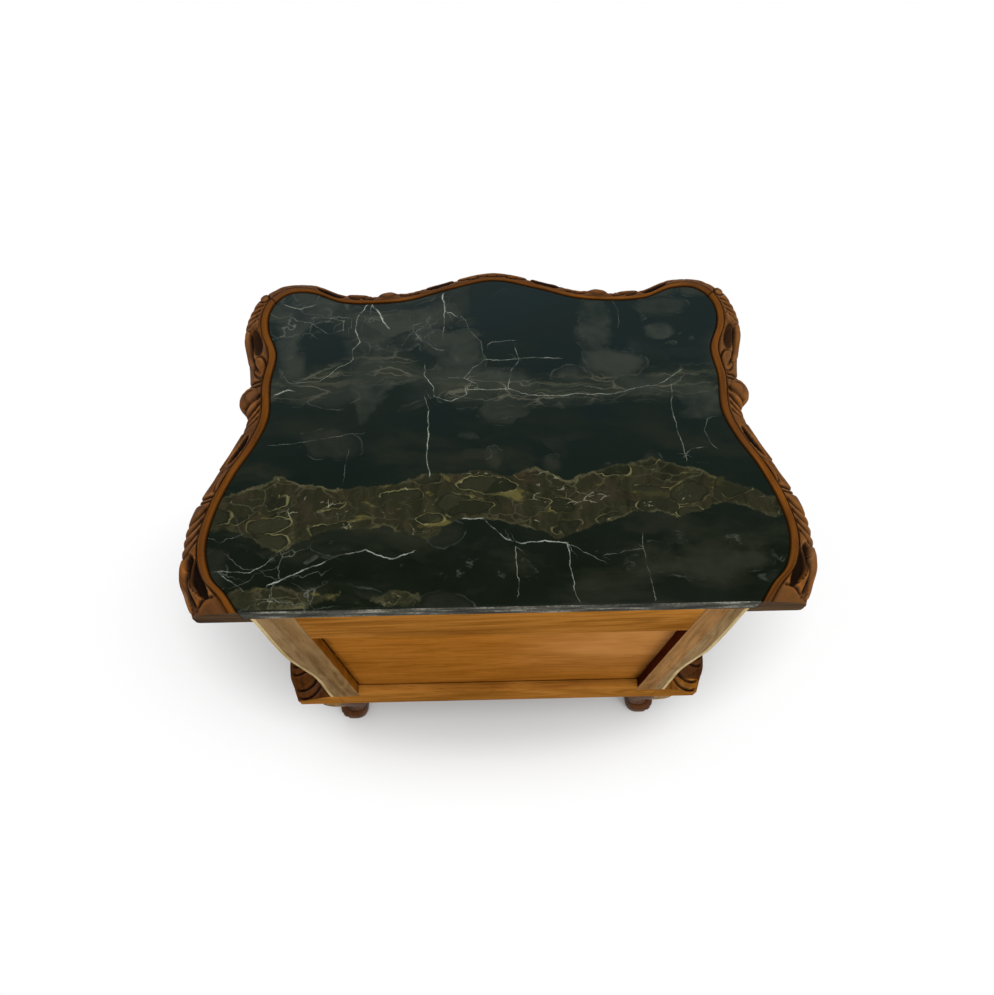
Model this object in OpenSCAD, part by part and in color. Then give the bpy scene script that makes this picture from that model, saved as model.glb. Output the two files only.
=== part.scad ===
// Bedside pot cupboard: a marble slab set in a carved serpentine rim, over one drawer and one
// bow-fronted door, on a moulded base with four cabriole legs. The back is a plain frame and panel.
// Millimetres. X is the width, the front faces -Y, Z is up, and the floor is at Z = 0.

/* [Overall] */
// Width over the widest part of the rim
top_w = 600; // [590:5:650]
// Depth from the front bow of the rim to the back
top_d = 398; // [388:1:430]
// Height of the rim above the floor
total_h = 640; // [610:5:700]

/* [Top] */
// Thickness of the rim moulding
rim_h = 32; // [29:1:38]
// Width of the rim moulding in the middle of the front
rim_w = 25; // [23:0.5:27]
// How far the rim reaches past the body in the middle of the front
rim_overhang = 46; // [43:1:49]
// Width of the smooth lip next to the marble
lip_w = 10; // [7:0.5:12]
// Thickness of the marble slab
marble_t = 20; // [16:1:22]
// How far the marble lies below the lip
marble_drop = 2; // [1:0.5:4]
// Clearance between the marble and the rim
marble_gap = 0.5; // [0.3:0.1:1.5]
// Thickness of the board under the marble
top_board_t = 12; // [8:1:14]
// Radius of the carved buds on the sides of the rim
side_bud_r = 10; // [7:0.5:11]
// Radius of the carved buds on the front of the rim
front_bud_r = 8; // [6:0.5:10]

/* [Body] */
// Swell of the front and sides, out at the belly and in at the waist
swell = 12; // [6:1:15]
// Thickness of the side panels
side_t = 17; // [14:1:20]
// Width of the front posts beside the opening
post_w = 42; // [38:1:46]
// Depth of the front posts at the opening
post_d = 34; // [30:1:40]
// Height of the front rail under the marble
rail_top_h = 20; // [18:1:24]
// Height of the front rail between the drawer and the door
rail_mid_h = 18; // [14:1:26]
// Height of the front rail under the door
rail_bottom_h = 20; // [16:1:30]
// Thickness of the board that the drawer runs on
dust_board_t = 9; // [6:1:12]

/* [Back] */
// Width of each back post seen beside the panel
back_post_w = 23.5; // [18:0.5:30]
// Depth of the back posts
back_post_d = 40; // [32:1:46]
// Thickness of the back rails
back_rail_t = 20; // [18:1:24]
// Height of the upper back rail
back_rail_top_h = 76; // [60:1:90]
// Height of the lower back rail
back_rail_bottom_h = 18; // [16:1:40]
// Depth of the back panel below the face of its frame
panel_recess = 12; // [8:0.5:12]
// Thickness of the back panel
panel_t = 5; // [4:0.5:6]
// Depth of the panel grooves
groove_d = 7; // [4:0.5:9]

/* [Base] */
// Height of the legs
leg_h = 170; // [140:5:190]
// Height of the base moulding
base_h = 53; // [46:1:60]
// Height of the base moulding at its outer edge
base_edge_h = 27; // [20:1:32]
// How far the base moulding reaches in under the body
base_ledge = 10; // [6:1:12]
// Thickness of the back rail of the base
base_back_t = 18; // [14:1:20]
// Thickness of the cupboard floor
floor_t = 18; // [12:1:22]
// Half the width of a leg at its top
leg_r = 24; // [20:1:26]
// Half the width of a foot
foot_r = 22; // [17:1:24]
// Side of the square tenon on top of each leg
tenon_w = 14; // [10:1:16]
// Height of that tenon
tenon_h = 18; // [12:1:22]

/* [Drawer] */
// Height of the drawer front
drawer_h = 108; // [90:1:130]
// Thickness of the drawer front at its ends
drawer_front_t = 22; // [18:1:25]
// Thickness of the drawer sides and back
drawer_side_t = 11; // [8:1:14]
// How much lower the drawer sides are than the front
drawer_side_drop = 10; // [4:1:20]
// Length of the drawer sides
drawer_len = 250; // [200:5:255]
// Thickness of the drawer bottom
drawer_bottom_t = 5; // [4:0.5:8]
// Height of the drawer bottom above the lower edge of the sides
drawer_bottom_lift = 9; // [8:1:14]
// Depth of the grooves that hold the drawer bottom
drawer_groove = 5; // [3:0.5:7]
// Width of the drawer guides
guide_w = 11; // [8:1:12]
// Height of the drawer guides
guide_h = 22; // [14:1:40]
// Height of the blocks that stop the closing drawer
stop_h = 6; // [4:0.5:7]

/* [Door] */
// Thickness of the curved door
door_t = 20; // [18:0.5:22]
// Gap round the door and the drawer front
front_gap = 2; // [1.8:0.1:3]
// Width of the raised bead on the door and drawer front
bead_w = 8; // [6:0.5:10]
// Height of that bead
bead_h = 3; // [2:0.5:4]
// Distance of the bead from the edge
bead_inset = 14; // [12:1:18]

/* [Hinges and lock] */
// Outer radius of a hinge knuckle
knuckle_r = 4; // [3.6:0.1:4.6]
// Radius of a hinge pin
hinge_pin_r = 2; // [1.5:0.1:2.3]
// Height of a hinge
hinge_h = 45; // [36:1:60]
// Distance from the ends of the door to its hinges
hinge_inset = 24; // [16:1:40]
// Thickness of a hinge leaf
leaf_t = 1.5; // [1.2:0.1:1.8]
// Depth of a hinge leaf
leaf_w = 15; // [12:0.5:16]
// Running clearance of pins, pivots and sliding pieces
run_gap = 0.08; // [0.05:0.01:0.1]
// Distance from the key to the inner end of the lock case
case_back = 12; // [10:0.5:16]
// Height of the lock case
case_h = 54; // [48:1:64]
// Depth of the lock case
case_d = 14; // [13:0.5:16]
// Thickness of the case's walls
case_wall = 2; // [1.5:0.1:2.5]
// Throw of the lock bolt
bolt_throw = 7; // [4:0.5:8]
// Height of the lock bolt
bolt_h = 11; // [8:0.5:13]
// Depth of the lock bolt
bolt_d = 6; // [4:0.5:8]
// Thickness of the strike plate
strike_t = 1.5; // [1.2:0.1:2]
// Radius of the escutcheon at its middle
escutcheon_r = 9; // [7:0.5:10]
// Thickness of the escutcheon
escutcheon_t = 2; // [1.5:0.1:2.5]
// Radius of the key's shank
key_r = 2.4; // [2:0.1:2.6]
// Reach of the key's bit from its axis
key_bit = 8; // [6:0.5:9]
// Radius of the key's bow
key_bow_r = 11; // [9:0.5:13]
// Radius of the key's round rod
key_rod_r = 1.8; // [1.4:0.1:2.2]

/* [Drawer pull] */
// Distance between the posts of the drawer pull
pull_w = 64; // [56:1:72]
// Radius of a rosette
rosette_r = 11; // [9:0.5:13]
// Radius of a pull post
pull_post_r = 4.4; // [4.2:0.1:5]
// Radius of the bail's bar
bail_r = 2.4; // [2:0.1:2.6]
// Radius of the bail's pivot pins
bail_pin_r = 1.9; // [1.5:0.1:2]
// Drop of the bail below its pivots
bail_drop = 28; // [24:1:32]

/* [Hidden] */
round_fn = 48;
eps = 0.01;

// Plan of the right half of the rim, drawn for the sizes below and scaled to the real ones. Each
// station: x, y, direction inward in degrees, rim width, overhang, share of the swell.
drawn_w = 600;
drawn_d = 398;
drawn_rim_w = 25;
drawn_overhang = 46;
STATIONS = [
    [  0, -199,    90, 25,   46, 1.00],
    [ 47, -189,    90, 26,   43, 0.85],
    [ 90, -175,    90, 26,   40, 0.45],
    [130, -170,    90, 25,   38, 0.10],
    [165, -172.5,  90, 25,   41, 0.00],
    [199, -185,    97, 25,   53, 0.15],
    [231, -184,   115, 26,   58, 0.35],
    [254, -166,   135, 26,   62, 0.45],
    [267, -141,   155, 28,   62, 0.50],
    [270, -113,   172, 31,   59, 0.55],
    [262,  -80,   180, 33,   55, 0.65],
    [257,  -45,   180, 25,   54, 0.75],
    [257,   -5,   180, 27,   54, 0.75],
    [266,   27,   180, 26,   57, 0.70],
    [281,   60,   180, 24,   61, 0.65],
    [295,   97,   180, 25,   64, 0.60],
    [300,  133,   180, 25,   65, 0.55],
    [298,  163,   180, 31,   62, 0.50],
    [291,  181,   180, 40, 57.5, 0.45],
    [284,  199,   180, 46,   52, 0.40]
];
opening_station = 4;
mitre_station = 7;
side_station = 10;
base_end_station = 18;
back_station = 19;
cuts = 3; // pieces between two stations

// The stations at their real size. The opening and the back rail of the base fix one each.
back_y = top_d / 2;
wide = top_w / drawn_w;
over_share = rim_overhang / drawn_overhang;
side_x = STATIONS[side_station][0] * wide - STATIONS[side_station][4] * over_share;
opening_w = 2 * (side_x - post_w); // width of the drawer and door opening
stations = [for (i = [0:back_station])
    let (s = STATIONS[i],
         x = i == opening_station ? opening_w / 2 : s[0] * wide,
         y = i == base_end_station ? back_y - base_back_t : s[1] * top_d / drawn_d)
    [x, y, s[2], s[3] * rim_w / drawn_rim_w, s[4] * over_share, s[5]]];

// Levels
rim_z = total_h - rim_h;
carcass_top = total_h - marble_drop - marble_t;
base_top = leg_h + base_h;
drawer_top = carcass_top - rail_top_h - front_gap;
drawer_z = drawer_top - drawer_h;
rail_mid_top = drawer_z - front_gap;
rail_mid_z = rail_mid_top - rail_mid_h;
door_z = base_top + rail_bottom_h + front_gap;
door_top = rail_mid_z - front_gap;
front_w = opening_w - 2 * front_gap; // width of the door and drawer front

// Value at u between b and c of a smooth curve through a, b, c and d
function smooth(a, b, c, d, u) =
    0.5 * (2 * b + (c - a) * u + (2 * a - 5 * b + 4 * c - d) * u * u + (3 * b - a - 3 * c + d) * u * u * u);
function mirrored(s) = [-s[0], s[1], 180 - s[2], s[3], s[4], s[5]];
function row(i) =
    i < 0 ? mirrored(stations[-i])
    : i > back_station ? 2 * stations[back_station] - stations[2 * back_station - i]
    : stations[i];
function station(t) =
    let (i = min(floor(t), back_station - 1))
    smooth(row(i - 1), row(i), row(i + 1), row(i + 2), t - i);
function along(a, b) = [for (i = [0:round((b - a) * cuts)]) a + i / cuts];

// Point at station t (negative on the left half), n inward from the rim's outer edge, at height z
function at(t, n, z) =
    let (s = station(abs(t)))
    [sign(t) * (s[0] + n * cos(s[2])) + (t == 0 ? s[0] : 0), s[1] + n * sin(s[2]), z];
function plan(p) = [p[0], p[1]];
function overhang(t) = station(abs(t))[4];

// Swell of the body over its height: nothing at the foot, in at the waist, out at the belly
BELLY = [[0, 0], [0.12, -0.45], [0.33, -1], [0.47, 0], [0.6, 1], [0.8, 0.7], [1, 0]];
function belly_row(i) = BELLY[max(0, min(len(BELLY) - 1, i))][1];
function belly_share(u, i) =
    smooth(belly_row(i - 1), belly_row(i), belly_row(i + 1), belly_row(i + 2),
           (u - BELLY[i][0]) / (BELLY[i + 1][0] - BELLY[i][0]));
body_cuts = 13;
body_levels = [for (i = [0:body_cuts]) base_top + (rim_z - base_top) * i / body_cuts];
belly_table = [for (i = [0:body_cuts])
    let (u = i / body_cuts, k = min(len([for (b = BELLY) if (b[0] <= u) b]) - 1, len(BELLY) - 2))
    [body_levels[i], swell * belly_share(u, k)]];
function belly(z) = lookup(z, belly_table);
function levels_between(z0, z1) =
    concat([z0], [for (z = body_levels) if (z > z0 + eps && z < z1 - eps) z], [z1]);

// Outer face of the posts and sides
function body_at(t, z) = at(t, overhang(t) - station(abs(t))[5] * belly(z), z);
carcass_levels = concat(body_levels, [carcass_top]);

// Front face of the rails, the door and the drawer
front_table = [for (t = along(-opening_station, opening_station)) plan(at(t, overhang(t), 0))];
share_table = [for (t = along(-opening_station, opening_station)) [at(t, 0, 0)[0], station(abs(t))[5]]];
function front_y(x, z) = lookup(x, front_table) - lookup(x, share_table) * belly(z);
function front_xs(x0, x1) =
    concat([x0], [for (p = front_table) if (p[0] > x0 + eps && p[0] < x1 - eps) p[0]], [x1]);
post_face_y = front_y(opening_w / 2, base_top);
front_inner_y = post_face_y + post_d;

// Inner face of the side panels, never wider than the back frame
back_inner_x = at(back_station, overhang(back_station) + side_t, 0)[0];
side_inner = [for (i = [side_station:back_station])
    [min(at(i, overhang(i) + side_t, 0)[0], back_inner_x), station(i)[1]]];
function side_inner_x(y) = lookup(y, [for (p = side_inner) [p[1], p[0]]]);
side_start_y = station(side_station)[1];
post_lap = 0.75; // how far a front post laps the side panel, as a share of the panel's thickness
post_inner_x = side_inner[0][0] - side_t * post_lap;
back_post_x = back_inner_x - back_post_w;
back_post_y = back_y - back_post_d;
back_inner_y = back_y - back_rail_t;

// Skins closed rings that all have the same number of points. In folded ones the second half runs
// back along the first, and its facets are split the same way.
module skin(rings, folded = false) {
    n = len(rings[0]);
    last = len(rings) - 1;
    walls = [for (i = [0:last - 1], j = [0:n - 1])
        let (a = i * n + j, b = i * n + (j + 1) % n)
        each (folded && j >= n / 2
            ? [[a, a + n, b], [b, a + n, b + n]]
            : [[a, a + n, b + n], [a, b + n, b]])];
    ends = [[for (j = [0:n - 1]) j], [for (j = [n - 1:-1:0]) last * n + j]];
    polyhedron(points = [for (r = rings) each r], faces = concat(walls, ends), convexity = 6);
}

module both_sides() {
    children();
    mirror([1, 0, 0]) children();
}

// Box between two corners
module block(a, b) {
    translate(a) cube(b - a);
}

// Cylinder along +Y or +X from a point
module rod_y(p, r, l) {
    translate(p) rotate([-90, 0, 0]) cylinder(r = r, h = l, $fn = round_fn);
}
module rod_x(p, r, l) {
    translate(p) rotate([0, 90, 0]) cylinder(r = r, h = l, $fn = round_fn);
}

// ---- Top ----

// Outside of the rim below its lip: share of the way in to the lip, share of the rim's height
RIM_SLOPE = [[0.7, 0.844], [0.35, 0.688], [0.1, 0.469], [0, 0.344], [0, 0.094]];
rim_arris = 2; // at the edges of the lip

// Section of the rim at t: along the underside, up the marble's seat, over the lip and down outside
function rim_section(t) =
    let (w = station(abs(t))[3], edge = w - lip_w, top = total_h, seat = carcass_top)
    [for (p = concat(
        [[1.5 * rim_arris, rim_z], [overhang(t), rim_z], [overhang(t), seat], [w, seat],
         [w, top - rim_arris], [w - rim_arris, top],
         [edge + 1.5 * rim_arris, top], [edge, top - rim_arris]],
        [for (s = RIM_SLOPE) [edge * s[0], rim_z + rim_h * s[1]]]
    )) at(t, p[0], p[1])];

// Carved buds: station, distance inward from the outer edge, radius
BUDS = [[-2.67, 0, front_bud_r], [2.67, 0, front_bud_r], [11.35, -1, side_bud_r]];
bud_share = 0.45; // height of their centres as a share of the rim's height

module rim_piece(a, b) {
    union() {
        skin([for (t = along(a, b)) rim_section(t)]);
        for (bud = BUDS)
            if (bud[0] > a && bud[0] < b)
                translate(at(bud[0], bud[1], rim_z + rim_h * bud_share)) sphere(r = bud[2], $fn = round_fn);
    }
}

module rim_front() { color("#7a4620") rim_piece(-mitre_station, mitre_station); }
module rim_right() { color("#7a4620") rim_piece(mitre_station, back_station); }
module rim_left() { mirror([1, 0, 0]) rim_right(); }

module marble_top() {
    color("#1c221f")
        translate([0, 0, carcass_top]) linear_extrude(marble_t)
            polygon([for (t = along(-back_station, back_station))
                plan(at(t, station(abs(t))[3] + marble_gap, 0))]);
}

// ---- Body ----

function mirror_x(points) = [for (i = [len(points) - 1:-1:0]) [-points[i][0], points[i][1]]];

// Plan between the posts and side panels, from the front rails to the back frame
module inside_plan() {
    half = concat(
        [[opening_w / 2, front_inner_y], [post_inner_x, side_start_y]],
        [for (p = side_inner) if (p[1] < back_post_y) p],
        [[side_inner_x(back_post_y), back_post_y], [back_post_x, back_post_y],
         [back_post_x, back_inner_y]]);
    polygon(concat(half, mirror_x(half)));
}

module board(z, t) {
    translate([0, 0, z]) linear_extrude(t) inside_plan();
}

module top_board() { color("#b98a55") board(carcass_top - top_board_t, top_board_t); }
module dust_board() { color("#b98a55") board(rail_mid_top - dust_board_t, dust_board_t); }

module front_post() {
    skin([for (z = carcass_levels) concat(
        [for (t = along(opening_station, side_station)) body_at(t, z)],
        [[post_inner_x, side_start_y, z], [opening_w / 2, front_inner_y, z]])]);
}

module post_front_right() {
    color("#6b3a1c")
        difference() {
            front_post();
            strike(strike_t, run_gap);
            bolt_mortise();
        }
}

module post_front_left() {
    color("#6b3a1c")
        difference() {
            mirror([1, 0, 0]) front_post();
            hinges() post_leaf_plate(run_gap);
        }
}

module side_right() {
    color("#8a5428")
        skin([for (z = carcass_levels) concat(
            [for (t = along(side_station, back_station)) body_at(t, z)],
            [for (i = [len(side_inner) - 1:-1:0]) [side_inner[i][0], side_inner[i][1], z]])]);
}
module side_left() { mirror([1, 0, 0]) side_right(); }

// Block with the curved front face, flat behind
module front_rail(z0, z1) {
    skin([for (z = levels_between(z0, z1)) concat(
        [for (x = front_xs(-opening_w / 2, opening_w / 2)) [x, front_y(x, z), z]],
        [[opening_w / 2, front_inner_y, z], [-opening_w / 2, front_inner_y, z]])]);
}
module rail_top_front() { color("#6b3a1c") front_rail(carcass_top - rail_top_h, carcass_top); }
module rail_mid_front() { color("#6b3a1c") front_rail(rail_mid_z, rail_mid_top); }
module rail_bottom_front() { color("#6b3a1c") front_rail(base_top, base_top + rail_bottom_h); }

// ---- Back ----

panel_z = base_top + back_rail_bottom_h;
panel_top = carcass_top - back_rail_top_h;

module panel_slab(gap) {
    w = back_post_x + groove_d + gap;
    y = back_y - panel_recess;
    block([-w, y - panel_t - gap, panel_z - groove_d - gap], [w, y + gap, panel_top + groove_d + gap]);
}

module back_rail(z0, z1) {
    difference() {
        block([-back_post_x, back_inner_y, z0], [back_post_x, back_y, z1]);
        panel_slab(run_gap);
    }
}

module post_back_right() {
    color("#9b7448")
        difference() {
            block([back_post_x, back_post_y, base_top], [back_inner_x, back_y, carcass_top]);
            panel_slab(run_gap);
        }
}
module post_back_left() { mirror([1, 0, 0]) post_back_right(); }
module back_rail_top() { color("#a87342") back_rail(panel_top, carcass_top); }
module back_rail_bottom() { color("#a87342") back_rail(base_top, panel_z); }
module back_panel() { color("#9c6530") panel_slab(0); }

// ---- Base ----

// Hollow top of the base moulding: share of the overhang, share of the height above the edge
BASE_HOLLOW = [[0.94, 1], [0.75, 0.8], [0.5, 0.42], [0.22, 0.14], [0.03, 0]];
base_arris = 3; // at the upper and lower corner of the moulding's edge

// Section of the base moulding at t: flat below, stepped under the body, hollow down to its edge
function base_section(t) =
    let (over = overhang(t), edge = leg_h + base_edge_h, rise = base_h - base_edge_h)
    [for (p = concat(
        [[base_arris / 2, leg_h], [over + base_ledge, leg_h], [over + base_ledge, base_top]],
        [for (s = BASE_HOLLOW) [over * s[0], edge + rise * s[1]]],
        [[0, edge - base_arris], [0, leg_h + base_arris]]
    )) at(t, p[0], p[1])];

module base_piece(a, b) {
    difference() {
        skin([for (t = along(a, b)) base_section(t)]);
        both_sides() {
            front_leg_place() tenon(run_gap);
            back_leg_place() tenon(run_gap);
        }
    }
}

module base_front() { color("#6b3a1c") base_piece(-mitre_station, mitre_station); }
module base_right() { color("#6b3a1c") base_piece(mitre_station, base_end_station); }
module base_left() { mirror([1, 0, 0]) base_right(); }

// Inner edge of the base moulding in plan
function base_inner(t) = plan(at(t, overhang(t) + base_ledge, 0));

module base_back() {
    x = base_inner(base_end_station)[0];
    color("#8f6236")
        union() {
            both_sides() base_piece(base_end_station, back_station);
            block([-x, back_y - base_back_t, leg_h], [x, back_y, base_top]);
        }
}

module cupboard_floor() {
    color("#b98a55")
        translate([0, 0, base_top - floor_t]) linear_extrude(floor_t)
            polygon([for (t = along(-base_end_station, base_end_station)) base_inner(t)]);
}

// Glue blocks under the floor, in the corners of the base between these stations
front_block = [3, 11];
back_block = [16, base_end_station];
back_block_w = 50;
module corner_blocks() {
    back_corner = base_inner(base_end_station);
    color("#a87342")
        both_sides() translate([0, 0, leg_h]) linear_extrude(base_h - floor_t) {
            polygon([for (t = along(front_block[0], front_block[1])) base_inner(t)]);
            polygon(concat([for (t = along(back_block[0], back_block[1])) base_inner(t)],
                           [back_corner - [back_block_w, 0]]));
        }
}

// ---- Legs ----

leg_bulge = 1.04; // the leg's largest half width as a share of that at its top
// Cabriole leg: share of the height, offset outward, half width, each width beside its own size
LEG = [
    [0.00,  -7, 0.70 * foot_r], [0.03,  -6, 0.90 * foot_r], [0.08,  -5, 1.00 * foot_r],
    [0.15,  -6, 0.97 * foot_r], [0.21, -10, 0.78 * foot_r], [0.27, -14, 0.62 * foot_r],
    [0.36, -17, 0.56 * foot_r], [0.48, -16, 0.60 * leg_r], [0.60, -11, 0.72 * leg_r],
    [0.72,  -3, 0.89 * leg_r], [0.84,   3, 1.02 * leg_r], [0.93,   3, leg_bulge * leg_r],
    [1.00,   0, 1.00 * leg_r]
];
leg_sides = 16;
leg_square = 2.6; // 2 makes a leg round, a large number makes it square

// Ring of a leg at one row of its table
function leg_ring(r) =
    [for (i = [0:leg_sides - 1])
        let (a = 360 * i / leg_sides,
             round_part = pow(abs(cos(a)), leg_square) + pow(abs(sin(a)), leg_square),
             k = r[2] / pow(round_part, 1 / leg_square))
        [k * cos(a) + r[1], k * sin(a), leg_h * r[0]]];

module tenon(gap) {
    h = tenon_w / 2 + gap;
    block([-h, -h, leg_h - eps], [h, h, leg_h + tenon_h + gap]);
}
module leg() {
    skin([for (r = LEG) leg_ring(r)]);
    tenon(0);
}
front_leg_out = 20; // of the body's corner, along the mitre
back_leg_station = 17;
back_leg_out = 2; // of the body's side
module front_leg_place() {
    translate(at(mitre_station, overhang(mitre_station) - front_leg_out, 0)) rotate(-45) children();
}
module back_leg_place() {
    x = at(back_leg_station, overhang(back_leg_station) - back_leg_out, 0)[0];
    translate([x, back_y - leg_bulge * leg_r, 0]) children();
}
module leg_front_right() { color("#5d3016") front_leg_place() leg(); }
module leg_front_left() { mirror([1, 0, 0]) leg_front_right(); }
module leg_back_right() { color("#5d3016") back_leg_place() leg(); }
module leg_back_left() { mirror([1, 0, 0]) leg_back_right(); }

// ---- Drawer ----

seat_gap = 0.3; // between the drawer and what it runs on
drawer_back_y = post_face_y + drawer_front_t; // inner face of the drawer front
drawer_end_y = drawer_back_y + drawer_len;
drawer_side_z = rail_mid_top + seat_gap;
drawer_side_top = drawer_top - drawer_side_drop;
drawer_bottom_z = drawer_side_z + drawer_bottom_lift;
drawer_inner_x = front_w / 2 - drawer_side_t;

// Panel as wide as the door, from out in front of the curved face to back behind it
module curved_panel(z0, z1, out, back) {
    xs = front_xs(-front_w / 2, front_w / 2);
    skin([for (z = levels_between(z0, z1)) concat(
        [for (x = xs) [x, front_y(x, z) - out, z]],
        [for (i = [len(xs) - 1:-1:0]) [xs[i], front_y(xs[i], z) + back, z]])], folded = true);
}

// Flat-backed block behind the curved front
module drawer_front_block() {
    xs = front_xs(-front_w / 2, front_w / 2);
    skin([for (z = levels_between(drawer_z, drawer_top)) concat(
        [for (x = xs) [x, front_y(x, z), z]],
        [[front_w / 2, drawer_back_y, z], [-front_w / 2, drawer_back_y, z]])]);
}

module bottom_slab(gap) {
    x = drawer_inner_x + drawer_groove;
    block([-x - gap, drawer_back_y - drawer_groove - gap, drawer_bottom_z - gap],
          [x + gap, drawer_end_y + gap, drawer_bottom_z + drawer_bottom_t + gap]);
}

module drawer_front() {
    color("#7d4422")
        difference() {
            drawer_front_block();
            bottom_slab(run_gap);
            pull_places() rod_y([0, -top_d, 0], stem_r + run_gap, 2 * top_d);
        }
}

module drawer_side_right() {
    color("#c39a63")
        difference() {
            block([drawer_inner_x, drawer_back_y, drawer_side_z],
                  [front_w / 2, drawer_end_y, drawer_side_top]);
            bottom_slab(run_gap);
        }
}
module drawer_side_left() { mirror([1, 0, 0]) drawer_side_right(); }

module drawer_back() {
    color("#c39a63")
        block([-drawer_inner_x, drawer_end_y - drawer_side_t, drawer_bottom_z + drawer_bottom_t],
              [drawer_inner_x, drawer_end_y, drawer_side_top]);
}
module drawer_bottom() { color("#c9a472") bottom_slab(0); }

// Raised bead that frames a curved front between two heights
module bead(z0, z1) {
    x = front_w / 2 - bead_inset;
    intersection() {
        curved_panel(z0, z1, bead_h, 0);
        difference() {
            block([-x, -top_d, z0 + bead_inset], [x, 0, z1 - bead_inset]);
            block([-x + bead_w, -top_d - 1, z0 + bead_inset + bead_w],
                  [x - bead_w, 1, z1 - bead_inset - bead_w]);
        }
    }
}
module drawer_bead() { color("#8a5428") bead(drawer_z, drawer_top); }

module drawer_guides() {
    color("#a87342")
        both_sides()
            block([opening_w / 2, side_start_y, rail_mid_top],
                  [opening_w / 2 + guide_w, back_post_y, rail_mid_top + guide_h]);
}
stop_x = 70;
stop_size = 30;
module drawer_stops() {
    color("#a87342")
        both_sides()
            block([stop_x, drawer_back_y + seat_gap, rail_mid_top],
                  [stop_x + stop_size, front_inner_y + stop_size / 2, rail_mid_top + stop_h]);
}

// ---- Drawer pull ----

stem_r = 2.4;
pull_share = 0.62; // height of the pull as a share of the drawer front's height
pull_z = drawer_z + drawer_h * pull_share;
// The bail hangs clear of the most forward point of the drawer front
pull_y = min([for (z = levels_between(drawer_z, drawer_top)) front_y(0, z)]) - bail_r - 2;
post_head_y = pull_y - pull_post_r;
bail_out = pull_post_r + bail_r + 0.6; // from a post's axis to the bail's arm

module pull_places() {
    both_sides() translate([pull_w / 2, 0, pull_z]) children();
}

// Turned post, rosette and threaded stem, cut to the curve of the drawer front
module pull_posts() {
    color("#b08d3e")
        difference() {
            pull_places() {
                rod_y([0, pull_y, 0], pull_post_r, -pull_y + drawer_back_y - drawer_front_t);
                rod_y([0, pull_y, 0], stem_r, -pull_y + drawer_back_y + nut_t + 1);
                translate([0, pull_y, 0]) sphere(r = pull_post_r, $fn = round_fn);
                rosette();
            }
            difference() {
                drawer_front_block();
                pull_places() rod_y([0, -top_d, 0], stem_r, 2 * top_d);
            }
            bail_pins(bail_pin_r + run_gap, seat_gap);
        }
}
rosette_rim = 1.2; // how far its edge stands off the drawer front
rosette_step = 1.8; // how far its middle stands proud of that
rosette_mid = 0.62; // radius of the middle as a share of the rosette's
rosette_root = 4; // how far the middle runs into the drawer front before it is cut
module rosette() {
    face = front_y(pull_w / 2, pull_z);
    edge = front_y(pull_w / 2 - rosette_r, pull_z - rosette_r) - rosette_rim;
    rod_y([0, edge, 0], rosette_r, drawer_back_y - drawer_front_t - edge);
    rod_y([0, edge - rosette_step, 0], rosette_r * rosette_mid, face - edge + rosette_root);
}
nut_r = 6;
nut_t = 4;
module pull_nuts() {
    color("#b08d3e")
        difference() {
            pull_places() rod_y([0, drawer_back_y, 0], nut_r, nut_t);
            pull_places() rod_y([0, drawer_back_y - 1, 0], stem_r, nut_t + 2);
        }
}

// Pivot pins at the ends of the bail, which reach a little past the axes of the posts
bail_pin_past = 1.5;
module bail_pins(r, extra) {
    past = bail_pin_past + extra;
    both_sides() rod_x([pull_w / 2 - past, pull_y, pull_z], r, past + bail_out);
}
bail_half = pull_w / 2 + bail_out;
bail_arc_r = (pow(bail_half, 2) + pow(bail_drop, 2)) / (2 * bail_drop);
bail_arc_a = asin(bail_half / bail_arc_r);
shoulder_r = bail_r * 1.5;
shoulder_w = bail_r * 2.4;
module drawer_bail() {
    color("#b08d3e")
        union() {
            bail_pins(bail_pin_r, 0);
            both_sides() rod_x([bail_half - shoulder_w / 2, pull_y, pull_z], shoulder_r, shoulder_w);
            translate([0, pull_y, pull_z - bail_drop + bail_arc_r]) rotate([90, 0, 0])
                rotate([0, 0, 270 - bail_arc_a])
                    rotate_extrude(angle = 2 * bail_arc_a, $fn = round_fn)
                        translate([bail_arc_r, 0]) circle(r = bail_r, $fn = round_fn);
        }
}

// ---- Door ----

hinge_x = -(opening_w - front_gap) / 2;
hinge_y = post_face_y - knuckle_r - seat_gap;
module hinges() {
    translate([hinge_x, hinge_y, door_z + hinge_inset]) children();
    translate([hinge_x, hinge_y, door_top - hinge_inset - hinge_h]) children();
}
leaf_reach = leaf_w + knuckle_r + seat_gap;
module post_leaf_plate(gap) {
    block([-front_gap / 2 - leaf_t - gap, 0, -gap],
          [-front_gap / 2 + gap, leaf_reach + gap, hinge_h + gap]);
}
module door_leaf_plate(gap) {
    block([front_gap / 2 - gap, 0, -gap],
          [front_gap / 2 + leaf_t + gap, leaf_reach + gap, hinge_h + gap]);
}
// Knuckles from share a to share b of the hinge's height
module knuckle(a, b) {
    translate([0, 0, hinge_h * a]) cylinder(r = knuckle_r, h = hinge_h * (b - a), $fn = round_fn);
}
module pin_bore() {
    translate([0, 0, -1]) cylinder(r = hinge_pin_r + run_gap, h = hinge_h + 2, $fn = round_fn);
}
knuckle_share = 1 / 3;
knuckle_gap = 0.006; // share of the hinge's height between two knuckles

// Room for the other leaf's knuckles
knuckle_play = 0.3;
module knuckle_room(a, b) {
    translate([0, 0, hinge_h * a])
        cylinder(r = knuckle_r + knuckle_play, h = hinge_h * (b - a), $fn = round_fn);
}

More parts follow.
